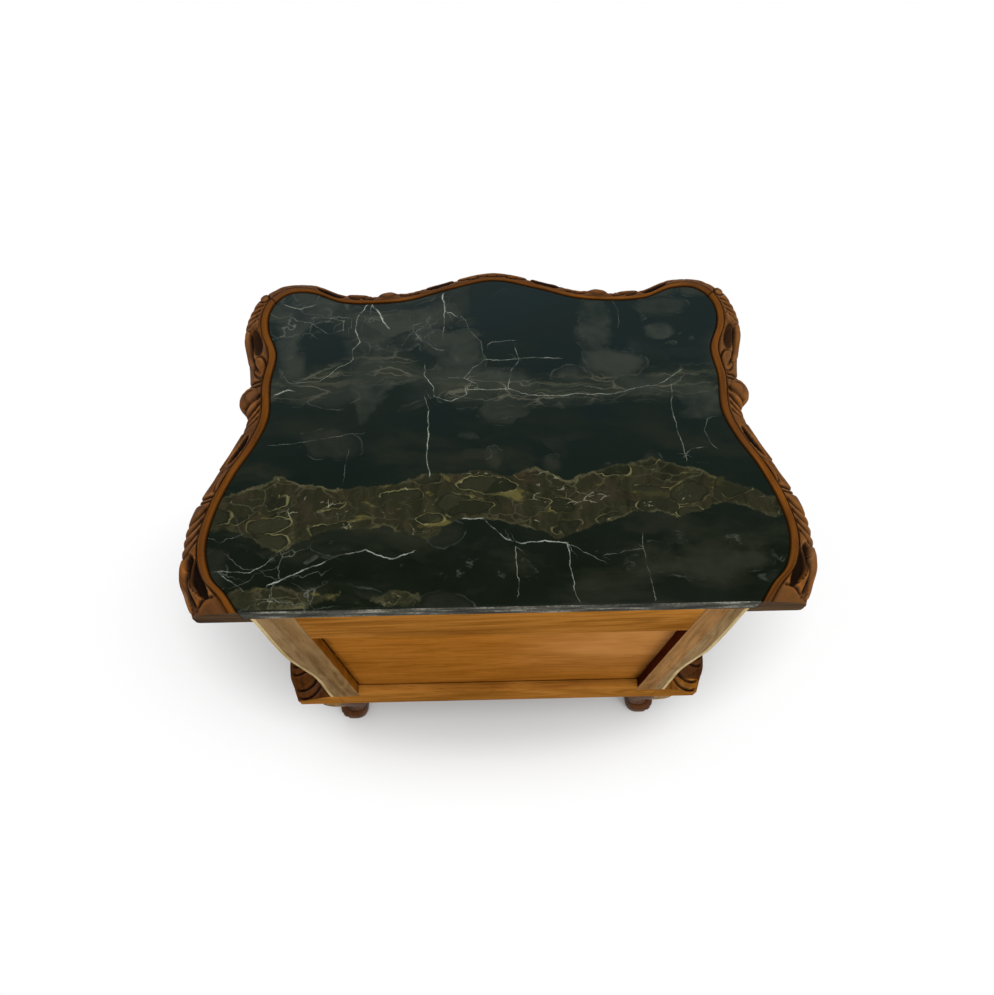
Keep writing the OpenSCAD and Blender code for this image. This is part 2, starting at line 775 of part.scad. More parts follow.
module post_hinge_leaves() {
    color("#b08d3e")
        hinges() difference() {
            union() {
                difference() {
                    post_leaf_plate(0);
                    knuckle_room(knuckle_share, 1 - knuckle_share);
                }
                knuckle(0, knuckle_share - knuckle_gap);
                knuckle(1 - knuckle_share + knuckle_gap, 1);
            }
            pin_bore();
        }
}
module door_hinge_leaves() {
    color("#b08d3e")
        hinges() difference() {
            union() {
                difference() {
                    door_leaf_plate(0);
                    knuckle_room(-1, knuckle_share);
                    knuckle_room(1 - knuckle_share, 2);
                }
                knuckle(knuckle_share + knuckle_gap, 1 - knuckle_share - knuckle_gap);
            }
            pin_bore();
        }
}
pin_head_h = 2.5;
module hinge_pins() {
    color("#b08d3e")
        hinges() {
            cylinder(r = hinge_pin_r, h = hinge_h, $fn = round_fn);
            translate([0, 0, hinge_h]) cylinder(r = knuckle_r * 0.8, h = pin_head_h, $fn = round_fn);
            translate([0, 0, -pin_head_h]) cylinder(r = knuckle_r * 0.8, h = pin_head_h, $fn = round_fn);
        }
}

// Lock: the case lies let into the back of the door, near its free edge
lock_edge = 1.5; // from the edge of the door to the case
case_x1 = front_w / 2 - lock_edge;
key_x = front_w / 2 - bead_inset - bead_w - escutcheon_r - 2;
case_x0 = key_x - case_back;
lock_z = (door_z + door_top) / 2 + case_h / 2;
case_y0 = max([for (x = front_xs(case_x0, case_x1)) front_y(x, lock_z)]) + door_t - case_d * 0.55;
case_y1 = case_y0 + case_d;
key_drop = 6; // from the middle of the case down to the key
key_z = lock_z - key_drop;
bolt_y0 = (case_y0 + case_y1 - bolt_d) / 2;
bolt_z0 = key_z + key_bit + 2;
case_z0 = lock_z - case_h / 2;

module case_box(gap) {
    block([case_x0 - gap, case_y0 - gap, case_z0 - gap],
          [case_x1 + gap, case_y1 + gap, case_z0 + case_h + gap]);
}
keyhole_play = 0.5; // more room below the key's bit than beside it, and room in the escutcheon
module keyhole(gap, y0, y1) {
    rod_y([key_x, y0, key_z], key_r + gap, y1 - y0);
    block([key_x - key_rod_r - gap, y0, key_z - key_bit - gap - keyhole_play],
          [key_x + key_rod_r + gap, y1, key_z]);
}
module bolt_bar(gap, x0, x1) {
    block([x0, bolt_y0 - gap, bolt_z0 - gap], [x1, bolt_y0 + bolt_d + gap, bolt_z0 + bolt_h + gap]);
}

module door() {
    color("#7d4422")
        difference() {
            curved_panel(door_z, door_top, 0, door_t);
            hinges() door_leaf_plate(run_gap);
            case_box(run_gap);
            block([case_x0, case_y0 - run_gap, case_z0 - run_gap],
                  [front_w / 2 + 1, case_y1 + run_gap, case_z0 + case_h + run_gap]);
            keyhole(1, -top_d, case_y1);
        }
}
module door_bead() { color("#8a5428") bead(door_z, door_top); }

module lock_case() {
    color("#8d7434")
        difference() {
            case_box(0);
            block([case_x0 + case_wall, case_y0 + case_wall, case_z0 + case_wall],
                  [case_x1 - case_wall, case_y1 - case_wall, case_z0 + case_h - case_wall]);
            bolt_bar(run_gap, case_x1 - case_wall - 1, case_x1 + 1);
            keyhole(run_gap, case_y0 - 1, case_y0 + case_wall + 1);
        }
}
module lock_bolt() { color("#8d7434") bolt_bar(0, case_x0 + case_wall + 2, case_x1); }

strike_tail = 11; // of the strike plate above and below the bolt
strike_edge = 5; // of the strike plate in front of and behind the bolt
mortise_gap = 0.8; // round the thrown bolt
module strike(t, gap) {
    x = opening_w / 2;
    block([x - gap, bolt_y0 - strike_edge - gap, bolt_z0 - strike_tail - gap],
          [x + t + gap, bolt_y0 + bolt_d + strike_edge + gap, bolt_z0 + bolt_h + strike_tail + gap]);
}
module bolt_mortise() {
    bolt_bar(mortise_gap, opening_w / 2 - 1, opening_w / 2 + bolt_throw + 1);
}
module strike_plate() {
    color("#b08d3e")
        difference() {
            strike(strike_t, 0);
            bolt_mortise();
        }
}

// Escutcheon lobes: height above the key and radius, as shares of the escutcheon's radius
ESCUTCHEON = [[0, 1], [1, 0.6], [-1, 0.75]];
module escutcheon() {
    face = min([for (x = [-1, 1], z = [-2, 2])
        front_y(key_x + x * escutcheon_r, key_z + z * escutcheon_r)]);
    color("#b08d3e")
        difference() {
            for (lobe = ESCUTCHEON)
                rod_y([key_x, face - escutcheon_t, key_z + escutcheon_r * lobe[0]], escutcheon_r * lobe[1],
                      4 * escutcheon_t);
            curved_panel(door_z, door_top, 0, door_t);
            keyhole(keyhole_play, -top_d, 0);
        }
}

key_out = 14; // from the escutcheon to the bow's rod
tip_gap = 0.5; // between the key's tip and the case wall
bit_inset = 0.3; // how much thinner than the rod the bit is, each side
bit_end = 1; // from the bit to the key's tip
module door_key() {
    face = front_y(key_x, key_z);
    bow_y = face - key_out - key_bow_r;
    tip_y = case_y1 - case_wall - tip_gap;
    color("#8d7434")
        union() {
            rod_y([key_x, face - key_out, key_z], key_r, tip_y - face + key_out);
            translate([key_x, bow_y, key_z]) rotate([0, 90, 0])
                rotate_extrude($fn = round_fn)
                    translate([key_bow_r, 0]) circle(r = key_rod_r, $fn = round_fn);
            block([key_x - key_rod_r + bit_inset, bolt_y0, key_z - key_bit],
                  [key_x + key_rod_r - bit_inset, tip_y - bit_end, key_z]);
        }
}

marble_top();
rim_front();
rim_left();
rim_right();
top_board();
post_front_left();
post_front_right();
post_back_left();
post_back_right();
side_left();
side_right();
rail_top_front();
rail_mid_front();
rail_bottom_front();
dust_board();
drawer_guides();
drawer_stops();
back_rail_top();
back_rail_bottom();
back_panel();
base_front();
base_left();
base_right();
base_back();
cupboard_floor();
corner_blocks();
leg_front_left();
leg_front_right();
leg_back_left();
leg_back_right();
drawer_front();
drawer_bead();
drawer_side_left();
drawer_side_right();
drawer_back();
drawer_bottom();
pull_posts();
pull_nuts();
drawer_bail();
door();
door_bead();
door_hinge_leaves();
post_hinge_leaves();
hinge_pins();
escutcheon();
door_key();
lock_case();
lock_bolt();
strike_plate();
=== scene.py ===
"""Looks of a bedside pot cupboard: a black and gold marble slab in a carved walnut rim, over one
drawer and one door, on a carved base with four cabriole legs.

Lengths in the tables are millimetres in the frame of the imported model; MM turns them into metres.
"""
import math

import bmesh
import bpy
import numpy as np
from mathutils import Matrix, Vector
from mathutils.geometry import delaunay_2d_cdt

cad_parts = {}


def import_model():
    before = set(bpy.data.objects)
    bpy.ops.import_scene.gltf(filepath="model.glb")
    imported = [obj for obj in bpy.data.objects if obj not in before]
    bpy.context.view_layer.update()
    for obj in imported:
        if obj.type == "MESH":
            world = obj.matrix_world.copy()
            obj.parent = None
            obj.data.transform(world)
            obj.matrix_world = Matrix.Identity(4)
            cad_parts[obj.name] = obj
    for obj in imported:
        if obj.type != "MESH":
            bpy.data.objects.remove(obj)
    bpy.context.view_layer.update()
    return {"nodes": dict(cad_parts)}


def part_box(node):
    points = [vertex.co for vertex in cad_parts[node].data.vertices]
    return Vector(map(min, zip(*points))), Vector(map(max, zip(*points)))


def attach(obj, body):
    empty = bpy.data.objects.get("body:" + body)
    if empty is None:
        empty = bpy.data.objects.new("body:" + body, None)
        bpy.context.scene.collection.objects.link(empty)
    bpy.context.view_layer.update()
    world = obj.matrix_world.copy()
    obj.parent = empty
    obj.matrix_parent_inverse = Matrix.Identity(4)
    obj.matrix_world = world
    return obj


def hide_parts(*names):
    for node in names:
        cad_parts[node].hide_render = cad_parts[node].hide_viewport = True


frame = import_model()

MM = 0.001

# ---------------------------------------------------------------------------------------------
# The plan of the top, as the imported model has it
# ---------------------------------------------------------------------------------------------

# Right half of the rim: x, y, direction inward in degrees, rim width, overhang, share of the swell
STATIONS = np.array([
    [0, -199, 90, 25, 46, 1.00], [47, -189, 90, 26, 43, 0.85], [90, -175, 90, 26, 40, 0.45],
    [130, -170, 90, 25, 38, 0.10], [165, -172.5, 90, 25, 41, 0.00], [199, -185, 97, 25, 53, 0.15],
    [231, -184, 115, 26, 58, 0.35], [254, -166, 135, 26, 62, 0.45], [267, -141, 155, 28, 62, 0.50],
    [270, -113, 172, 31, 59, 0.55], [262, -80, 180, 33, 55, 0.65], [257, -45, 180, 25, 54, 0.75],
    [257, -5, 180, 27, 54, 0.75], [266, 27, 180, 26, 57, 0.70], [281, 60, 180, 24, 61, 0.65],
    [295, 97, 180, 25, 64, 0.60], [300, 133, 180, 25, 65, 0.55], [298, 163, 180, 31, 62, 0.50],
    [291, 181, 180, 40, 57.5, 0.45], [284, 199, 180, 46, 52, 0.40],
])
OPENING, MITRE, SIDE, BASE_END, BACK = 4, 7, 10, 18, 19
BACK_Y, RIM_REACH = 199.0, 300.0
RIM_Z, SEAT_Z, MARBLE_TOP, RIM_TOP = 608.0, 618.0, 638.0, 640.0
LIP_W = 10.0
LEG_H, BASE_EDGE, BASE_TOP = 170.0, 197.0, 223.0
BASE_IN = 10.0                           # how far the base reaches inward beyond the overhang
SIDE_T, BACK_INNER_X, EDGE_STRIP = 17.0, 215.0, 4.0
OPEN_X, FRAME_DEPTH = 165.0, 34.0        # half width of the opening, and depth of the frame round it
SWELL = 12.0
HINGE_LEAVES = [(269, 314), (397, 442)]  # lower and upper end of each hinge
LEAF_Y, LEAF_PLAY = -140, 0.08           # a y in front of the hinges, and the play of their leaves
LEAF_BACK_X = -161.42                    # how far the hinges' recesses reach into the door
LOCK_X, LOCK_Z = 130.0, 376.5            # axis of the key
PULL_X, PULL_Y, PULL_Z = 32.0, -169.088, 554.96
# Swell of the body over its height: share of the height, share of the swell
BELLY = np.array([[0, 0], [0.12, -0.45], [0.33, -1], [0.47, 0], [0.6, 1], [0.8, 0.7], [1, 0]])


def smooth(a, b, c, d, u):
    """Value at u between b and c of a smooth curve through a, b, c and d."""
    return 0.5 * (2 * b + (c - a) * u + (2 * a - 5 * b + 4 * c - d) * u * u
                  + (3 * b - a - 3 * c + d) * u ** 3)


def rows(i):
    """Stations of index i, carried on past the middle of the front and past the back."""
    found = STATIONS[np.clip(np.abs(i), 0, BACK)].copy()
    left = i < 0
    found[left, 0] *= -1
    found[left, 2] = 180 - found[left, 2]
    past = i > BACK
    found[past] = 2 * STATIONS[BACK] - STATIONS[np.clip(2 * BACK - i[past], 0, BACK)]
    return found


def station(t):
    """Interpolated stations at t, which is negative on the left half."""
    t = np.abs(np.atleast_1d(np.asarray(t, float)))
    flat = t.ravel()
    i = np.minimum(flat.astype(int), BACK - 1)
    found = smooth(rows(i - 1), rows(i), rows(i + 1), rows(i + 2), (flat - i)[:, None])
    return found.reshape(t.shape + (6,))


def at(t, n, z):
    """Points n inward from the rim's outer edge at stations t and heights z, in millimetres."""
    t, n, z = np.broadcast_arrays(np.asarray(t, float), n, z)
    s = station(t)
    a = np.radians(s[..., 2])
    side = np.where(t < 0, -1.0, 1.0)
    return np.stack([side * (s[..., 0] + n * np.cos(a)), s[..., 1] + n * np.sin(a), z + 0.0], -1)


FINE_T = np.linspace(0, BACK, 1901)
ARC = np.r_[0, np.cumsum(np.hypot(*np.diff(station(FINE_T)[:, :2], axis=0).T))]


def t_of(arc):
    """Station at a length along the rim's outer edge from the middle of the front."""
    return np.sign(arc) * np.interp(np.abs(arc), ARC, FINE_T)


def arc_of(t):
    return np.sign(t) * np.interp(np.abs(t), FINE_T, ARC)


def belly(z):
    """How far the body swells out at height z."""
    u = np.clip((np.asarray(z, float) - BASE_TOP) / (RIM_Z - BASE_TOP), 0, 1)
    last = len(BELLY) - 1
    k = np.clip(np.searchsorted(BELLY[:, 0], u, "right") - 1, 0, last - 1)
    share = smooth(BELLY[np.maximum(k - 1, 0), 1], BELLY[k, 1], BELLY[k + 1, 1],
                   BELLY[np.minimum(k + 2, last), 1],
                   (u - BELLY[k, 0]) / (BELLY[k + 1, 0] - BELLY[k, 0]))
    return SWELL * share


def body_at(t, z):
    """Outer face of the posts and side panels."""
    s = station(t)
    return at(t, s[..., 4] - s[..., 5] * belly(z), z)


FRONT_T = np.linspace(-OPENING, OPENING, 161)
FRONT = at(FRONT_T, station(FRONT_T)[:, 4], 0)
FRONT_SHARE = station(FRONT_T)[:, 5]


def front_y(x, z):
    """Front face of the rails, the door and the drawer."""
    return np.interp(x, FRONT[:, 0], FRONT[:, 1]) - np.interp(x, FRONT[:, 0], FRONT_SHARE) * belly(z)


# ---------------------------------------------------------------------------------------------
# Meshes
# ---------------------------------------------------------------------------------------------

def linked(name, data):
    """A new object in the scene."""
    obj = bpy.data.objects.new(name, data)
    bpy.context.scene.collection.objects.link(obj)
    return obj


def shade(mesh, angle):
    """Smooth shading but for edges sharper than angle."""
    mesh.shade_smooth()
    mesh.set_sharp_from_angle(angle=math.radians(angle))


def bevel(work, width, angle):
    """Rounds the edges of a working mesh that are sharper than angle."""
    sharp = [e for e in work.edges if e.calc_face_angle(0) > math.radians(angle)]
    bmesh.ops.bevel(work, geom=sharp, offset=width * MM, offset_type="OFFSET", segments=2, profile=0.6,
                    affect="EDGES", clamp_overlap=True)


def piece(name, points, faces, materials, face_slots=None, attributes=None, angle=35):
    """A mesh object from points in millimetres, shaded smooth but for edges sharper than angle."""
    mesh = bpy.data.meshes.new(name)
    mesh.from_pydata((np.asarray(points) * MM).tolist(), [], faces)
    for material in materials:
        mesh.materials.append(material)
    if face_slots is not None:
        mesh.polygons.foreach_set("material_index", np.asarray(face_slots, np.int32))
    for key, values in (attributes or {}).items():
        values = np.asarray(values, np.float32)
        kind, field = ("FLOAT_VECTOR", "vector") if values.ndim == 2 else ("FLOAT", "value")
        mesh.attributes.new(key, kind, "POINT").data.foreach_set(field, values.ravel())
    mesh.validate()
    fix = bmesh.new()
    fix.from_mesh(mesh)
    bmesh.ops.remove_doubles(fix, verts=fix.verts, dist=1e-6)
    bmesh.ops.recalc_face_normals(fix, faces=fix.faces)
    fix.to_mesh(mesh)
    fix.free()
    shade(mesh, angle)
    return linked(name, mesh)


def place(obj, body, slot, *nodes):
    """Puts a finished piece on its body and in the place of CAD nodes, which it hides. slot is not used."""
    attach(obj, body)
    if nodes:
        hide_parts(*nodes)


def box_of(node):
    """Two corners of a CAD node's box, in millimetres."""
    return [Vector(corner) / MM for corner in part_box(node)]


def middles(points, faces):
    """The middle of each face."""
    return np.array([points[list(face)].mean(0) for face in faces])


def joined(*parts):
    """Points and faces of several skins as one."""
    points, faces = [], []
    for some_points, some_faces in parts:
        faces += [tuple(i + len(points) for i in face) for face in some_faces]
        points += list(some_points)
    return points, faces


def loft(rings, closed=False):
    """Points and faces of a skin over rings of equal length. It is capped, or closed end to end."""
    rings = np.array(rings)
    count, size = rings.shape[:2]
    faces = []
    for i in range(count if closed else count - 1):
        a, b = i * size, (i + 1) % count * size
        faces += [(a + j, a + (j + 1) % size, b + (j + 1) % size, b + j) for j in range(size)]
    if not closed:
        faces.append(tuple(range(size))[::-1])
        faces.append(tuple(range((count - 1) * size, count * size)))
    return rings.reshape(-1, 3), faces


def ring_angles(count):
    return np.linspace(0, 2 * np.pi, count, endpoint=False)


def box_mesh(low, high):
    """Corner points and faces of a box."""
    points = [(x, y, z) for x in (low[0], high[0]) for y in (low[1], high[1]) for z in (low[2], high[2])]
    faces = [(0, 1, 3, 2), (4, 6, 7, 5), (0, 4, 5, 1), (2, 3, 7, 6), (0, 2, 6, 4), (1, 5, 7, 3)]
    return points, faces


def cut_boxes(obj, *boxes):
    """Cuts boxes, given by two corners in millimetres, out of a piece."""
    cutter = piece("cutter", *joined(*[box_mesh(low, high) for low, high in boxes]), [])
    tool = obj.modifiers.new("cut", "BOOLEAN")
    tool.operation, tool.solver, tool.object = "DIFFERENCE", "EXACT", cutter
    bpy.context.view_layer.update()
    made = bpy.data.meshes.new_from_object(obj.evaluated_get(bpy.context.evaluated_depsgraph_get()))
    obj.modifiers.clear()
    obj.data = made
    bpy.data.objects.remove(cutter)
    shade(made, 35)


def refined(node, material, body, slot, width, inner=None):
    """A CAD node of flat faces, rebuilt with one mesh and softly rounded edges. Faces that look
    toward the middle of the cupboard may have a material of their own."""
    work = bmesh.new()
    work.from_mesh(frame["nodes"][node].data)
    bmesh.ops.remove_doubles(work, verts=work.verts, dist=1e-6)
    bmesh.ops.dissolve_limit(work, angle_limit=math.radians(1), verts=work.verts, edges=work.edges)
    if width:
        bevel(work, width, 35)
    name = node + "_soft"
    mesh = bpy.data.meshes.new(name)
    work.to_mesh(mesh)
    work.free()
    mesh.materials.clear()
    mesh.materials.append(material)
    slots = np.zeros(len(mesh.polygons), np.int32)
    if inner:
        mesh.materials.append(inner)
        slots[:] = [p.center.x * p.normal.x < 0 and abs(p.normal.x) > 0.7 for p in mesh.polygons]
    mesh.polygons.foreach_set("material_index", slots)
    shade(mesh, 35)
    place(linked(name, mesh), body, slot, node)


# ---------------------------------------------------------------------------------------------
# Relief carving
# ---------------------------------------------------------------------------------------------

def resampled(values, count):
    """A smooth curve through the columns of values, at count places from the first to the last."""
    last = values.shape[1] - 1
    u = np.linspace(0, last, count)
    i = np.minimum(u.astype(int), last - 1)
    before, start, stop, after = (values[:, np.clip(i + k, 0, last)] for k in (-1, 0, 1, 2))
    return smooth(before, start, stop, after, u - i)


def curve(points, steps=6):
    """Points of a smooth line through the given ones."""
    p = np.asarray(points, float)
    p = np.vstack([2 * p[0] - p[1], p, 2 * p[-1] - p[-2]])
    u = np.linspace(0, 1, steps, endpoint=False)[:, None]
    parts = [smooth(p[i], p[i + 1], p[i + 2], p[i + 3], u) for i in range(len(p) - 3)]
    return np.vstack(parts + [p[-2:-1]])


class Relief:
    """Height in millimetres over a face with coordinates s along and c across."""

    def __init__(self, s, c):
        self.s, self.c = s, c
        self.height = np.zeros_like(s)
        self.shade = np.zeros_like(s)                        # how dark the floors of hollows are

    def _near(self, line, reach):
        """Distance to a line and how far along it, for the points within reach of it."""
        (s0, c0), (s1, c1) = line.min(0) - reach, line.max(0) + reach
        mask = (self.s > s0) & (self.s < s1) & (self.c > c0) & (self.c < c1)
        s, c = self.s[mask], self.c[mask]
        best = np.full(s.shape, 1e9)
        along = np.zeros_like(best)
        for i, (a, b) in enumerate(zip(line[:-1], line[1:])):
            d = b - a
            h = np.clip(((s - a[0]) * d[0] + (c - a[1]) * d[1]) / max(d @ d, 1e-9), 0, 1)
            gap = np.hypot(s - a[0] - h * d[0], c - a[1] - h * d[1])
            closer = gap < best
            best = np.where(closer, gap, best)
            along = np.where(closer, (i + h) / (len(line) - 1), along)
        return mask, best, along

    def cut(self, path, width=1.1, depth=1.7):
        """A gouged line that runs out at both ends."""
        width, depth = 1.8 * width, 1.7 * depth
        mask, gap, along = self._near(curve(path), 3 * width)
        fade = np.clip(np.minimum(along, 1 - along) * 7, 0.25, 1)
        self.height[mask] -= depth * fade * np.exp(-(gap / width) ** 2)

    def cuts(self, count, step, path, width=1.1, depth=1.7):
        """A row of like cuts, each a step further along."""
        for i in range(count):
            self.cut([(s + step * i, c) for s, c in path], width, depth)

    def ridge(self, path, width, height):
        """A raised round bar, thinner at its ends."""
        mask, gap, along = self._near(curve(path), width)
        taper = width * (0.35 + 0.65 * np.sin(np.pi * np.clip(along, 0, 1)))
        self.height[mask] += height * np.sqrt(np.clip(1 - (gap / taper) ** 2, 0, 1))

    def _ellipse(self, s, c, rs, rc, turn):
        a = math.radians(turn)
        ds, dc = self.s - s, self.c - c
        return np.hypot((ds * math.cos(a) + dc * math.sin(a)) / rs,
                        (dc * math.cos(a) - ds * math.sin(a)) / rc)

    def dish(self, s, c, rs, rc, depth, turn=0, shade=0.3):
        """A hollow with steep walls and a rounded floor."""
        r = self._ellipse(s, c, rs, rc, turn)
        self.height -= depth * np.clip(1 - r ** 4, 0, 1) ** 0.8
        self.shade = np.maximum(self.shade, shade * np.clip((1 - r) * 6, 0, 1))

    def dome(self, s, c, rs, rc, height, turn=0):
        """A swelling like part of a ball."""
        r = self._ellipse(s, c, rs, rc, turn)
        self.height += height * np.sqrt(np.clip(1 - r ** 2, 0, 1))

    def swell(self, s, c, rs, rc, height):
        """A swelling that runs out softly."""
        r = self._ellipse(s, c, rs, rc, 0)
        self.height += height * np.clip(1 - r ** 2, 0, 1) ** 1.2

    def outline(self, s, c, rs, rc, turn=0, width=1.0, depth=1.4):
        """A groove round an ellipse."""
        r = self._ellipse(s, c, rs, rc, turn)
        self.height -= depth * np.exp(-((r - 1) * min(rs, rc) / width) ** 2)


def blurred(field, reach, axis):
    """Field averaged over reach samples each way along an axis."""
    offsets = np.arange(-reach, reach + 1)
    weights = np.exp(-(offsets / (0.5 * reach)) ** 2)
    index = np.arange(field.shape[axis])
    shifted = (np.take(field, np.clip(index + o, 0, len(index) - 1), axis) for o in offsets)
    return sum(w * values for w, values in zip(weights, shifted)) / weights.sum()


def cavity_shade_and_wear_highlight(height, reach):
    """How far down a point lies in a hollow, used as painted shade, and how proud it stands, used as wear
    with a painted highlight, each from 0 to 1.
    """
    around = blurred(blurred(height, reach, 0), reach, 1)
    sunk = np.clip((around - height) / 0.9, 0, 1) + 0.45 * np.clip((-2.0 - height) / 3.0, 0, 1)
    return np.clip(sunk, 0, 1), np.clip((height - around) / 0.8, 0, 1)


def wander(x, seed):
    """A slow, uneven wave of about one unit, the same each run."""
    phases = np.random.RandomState(seed).uniform(0, 6.28, 4)
    waves = zip((1, 2, 3, 4), (31.0, 13.7, 7.1, 3.9), phases)
    return sum(np.sin(x / length + phase) / k for k, length, phase in waves) / 1.6


def carved_over(arc, n, z, carve, sunk, along, across, fold):
    """Relief of a moulding with sections n and z along arc. Its strokes sway by the size and seed
    of along and across, and run on over the face below fold, a height and a share."""
    s = np.abs(arc)[:, None] + along[0] * wander(arc, along[1])[:, None] + 0 * n
    c = n - fold[1] * np.clip(fold[0] - z, 0, None) + across[0] * wander(arc, across[1])[:, None]
    relief = Relief(s, c)
    relief.height -= sunk
    carve(relief)
    return relief


def raised(t, n, z, height, column):
    """Points of a moulding whose face is moved outward by height. At the given column of its
    sections it looks upward."""
    dn = np.roll(n, -1, 1) - np.roll(n, 1, 1)
    dz = np.roll(z, -1, 1) - np.roll(z, 1, 1)
    length = np.maximum(np.hypot(dn, dz), 1e-6)
    out_n, out_z = dz / length, -dn / length
    facing = np.sign(np.mean(out_z[:, column]))
    return at(t[:, None] + 0 * n, n + facing * out_n * height, z + facing * out_z * height)


def grain_along(arc, n, z, start):
    """Coordinates in metres for wood that runs along a moulding."""
    across = np.cumsum(np.hypot(*[np.diff(v, axis=1, prepend=v[:, :1]) for v in (n, z)]), 1)
    return np.stack([arc[:, None] + 0 * n, across, 0 * n + start], -1).reshape(-1, 3) * MM


def sections(shape, points):
    """Distances inward and heights, as columns, from pairs of numbers or arrays."""
    return [np.stack([np.broadcast_to(p[k], shape) for p in points], 1) for k in (0, 1)]


# ---------------------------------------------------------------------------------------------
# Materials
# ---------------------------------------------------------------------------------------------

class Value:
    """A number, colour or vector within a material. Arithmetic on it adds nodes to the material."""

    def __init__(self, net, socket):
        self.net, self.socket = net, socket

    def other(self, name):
        """Another output of the node that this value comes from."""
        return Value(self.net, self.socket.node.outputs[name])

    def math(self, operation, *others, clamp=False):
        inputs = enumerate((self, *others))
        return self.net.add("ShaderNodeMath", inputs, operation=operation, use_clamp=clamp)

    def __add__(self, other):
        return self.math("ADD", other)

    def __sub__(self, other):
        return self.math("SUBTRACT", other)

    def __rsub__(self, other):
        return self.net.add("ShaderNodeMath", {0: other, 1: self}, operation="SUBTRACT")

    def __mul__(self, other):
        return self.math("MULTIPLY", other)

    def __abs__(self):
        return self.math("ABSOLUTE")

    def vector(self, operation, other, socket=1):
        return self.net.add("ShaderNodeVectorMath", {0: self, socket: other}, operation=operation)

    def length(self):
        return self.net.add("ShaderNodeVectorMath", {0: self}, "Value", operation="LENGTH")

    def split(self):
        x = self.net.add("ShaderNodeSeparateXYZ", {0: self})
        return x, x.other("Y"), x.other("Z")

    def stretched(self, scale, offset=(0, 0, 0)):
        return self.net.add("ShaderNodeMapping", {"Vector": self, "Scale": scale, "Location": offset})

    def noise(self, scale=1.0, detail=3.0, rough=0.5, distortion=0.0, out="Fac"):
        inputs = {"Vector": self, "Scale": scale, "Detail": detail, "Roughness": rough,
                  "Distortion": distortion}
        return self.net.add("ShaderNodeTexNoise", inputs, out)

    def warped(self, scale, amount, detail):
        """Coordinates pushed about by noise, by up to about amount."""
        push = self.noise(scale, detail, out="Color").vector("SUBTRACT", (0.5, 0.5, 0.5))
        return self.vector("ADD", push.vector("SCALE", 2 * amount, "Scale"))

    def cells(self, feature="F1"):
        """Distance from the middle of a cell, or from its edge."""
        inputs = {"Vector": self, "Scale": 1.0}
        return self.net.add("ShaderNodeTexVoronoi", inputs, "Distance", feature=feature)

    def edges(self):
        return self.cells("DISTANCE_TO_EDGE")

    def fit(self, low, high, to_low=0.0, to_high=1.0, soft=False):
        """Value from low..high brought to to_low..to_high, and held there."""
        inputs = {"Value": self, "From Min": low, "From Max": high, "To Min": to_low, "To Max": to_high}
        kind = "SMOOTHSTEP" if soft else "LINEAR"
        return self.net.add("ShaderNodeMapRange", inputs, "Result", interpolation_type=kind)

    def between(self, a, b):
        """Colour from a, where this value is 0, to b, where it is 1."""
        return self.net.add("ShaderNodeMix", {0: self, 6: a, 7: b}, 2, data_type="RGBA")

    def toward(self, colour, share):
        """This colour with a share of another."""
        return share.between(self, colour)

    def ramp(self, *stops):
        """Colour by value, from (position, colour) stops."""
        found = self.net.add("ShaderNodeValToRGB", {0: self})
        points = found.socket.node.color_ramp.elements
        while len(points) < len(stops):
            points.new(0.5)
        for point, (position, colour) in zip(points, stops):
            point.position = position
            point.color = (*colour, 1)
        return found

    def bump(self, distance, strength):
        return self.net.add("ShaderNodeBump", {"Height": self, "Distance": distance, "Strength": strength})


class Net:
    """The nodes of one material or of the world, under construction."""

    def __init__(self, owner):
        self.owner = owner
        owner.use_nodes = True
        self.tree = owner.node_tree
        self.tree.nodes.clear()

    def add(self, kind, inputs=(), out=0, **settings):
        """Adds a node, sets or links its inputs by name or number, and gives one of its outputs."""
        node = self.tree.nodes.new(kind)
        for key, value in settings.items():
            setattr(node, key, value)
        for key, value in dict(inputs).items():
            socket = node.inputs[key]
            if isinstance(value, Value):
                self.tree.links.new(value.socket, socket)
            else:
                socket.default_value = (*value, 1) if socket.type == "RGBA" else value
        return Value(self, node.outputs[out]) if len(node.outputs) else None

    def where(self, along="X"):
        """Coordinates in metres: the grain attribute, or the object's own with along first."""
        if along == "grain":
            return self.attribute("grain", "Vector")
        own = self.add("ShaderNodeTexCoord", out="Object")
        if along == "X":
            return own
        xyz = own.split()
        return self.join(*[xyz[i] for i in {"Y": (1, 2, 0), "Z": (2, 0, 1)}[along]])

    def join(self, *xyz):
        return self.add("ShaderNodeCombineXYZ", enumerate(xyz))

    def attribute(self, name, out="Fac"):
        return self.add("ShaderNodeAttribute", out=out, attribute_name=name)

    def seen(self):
        """1 for rays from the camera or a mirror, 0 for those that only bring light."""
        found = self.add("ShaderNodeLightPath", out="Is Camera Ray")
        for kind in ("Is Glossy Ray", "Is Transmission Ray"):
            found = found.math("MAXIMUM", self.add("ShaderNodeLightPath", out=kind))
        return found

    def surface(self, color, rough, specular=0.5, metal=0.0, normal=None):
        """Finishes a material with one principled shader."""
        inputs = {"Base Color": color, "Roughness": rough, "Specular IOR Level": specular, "Metallic": metal,
                  "Normal": normal}
        self.add("ShaderNodeOutputMaterial", {0: self.add("ShaderNodeBsdfPrincipled", inputs)})
        return self.owner


def new_net(name):
    return Net(bpy.data.materials.new(name))


def dimmed(colour, share):
    return tuple(share * v for v in colour)


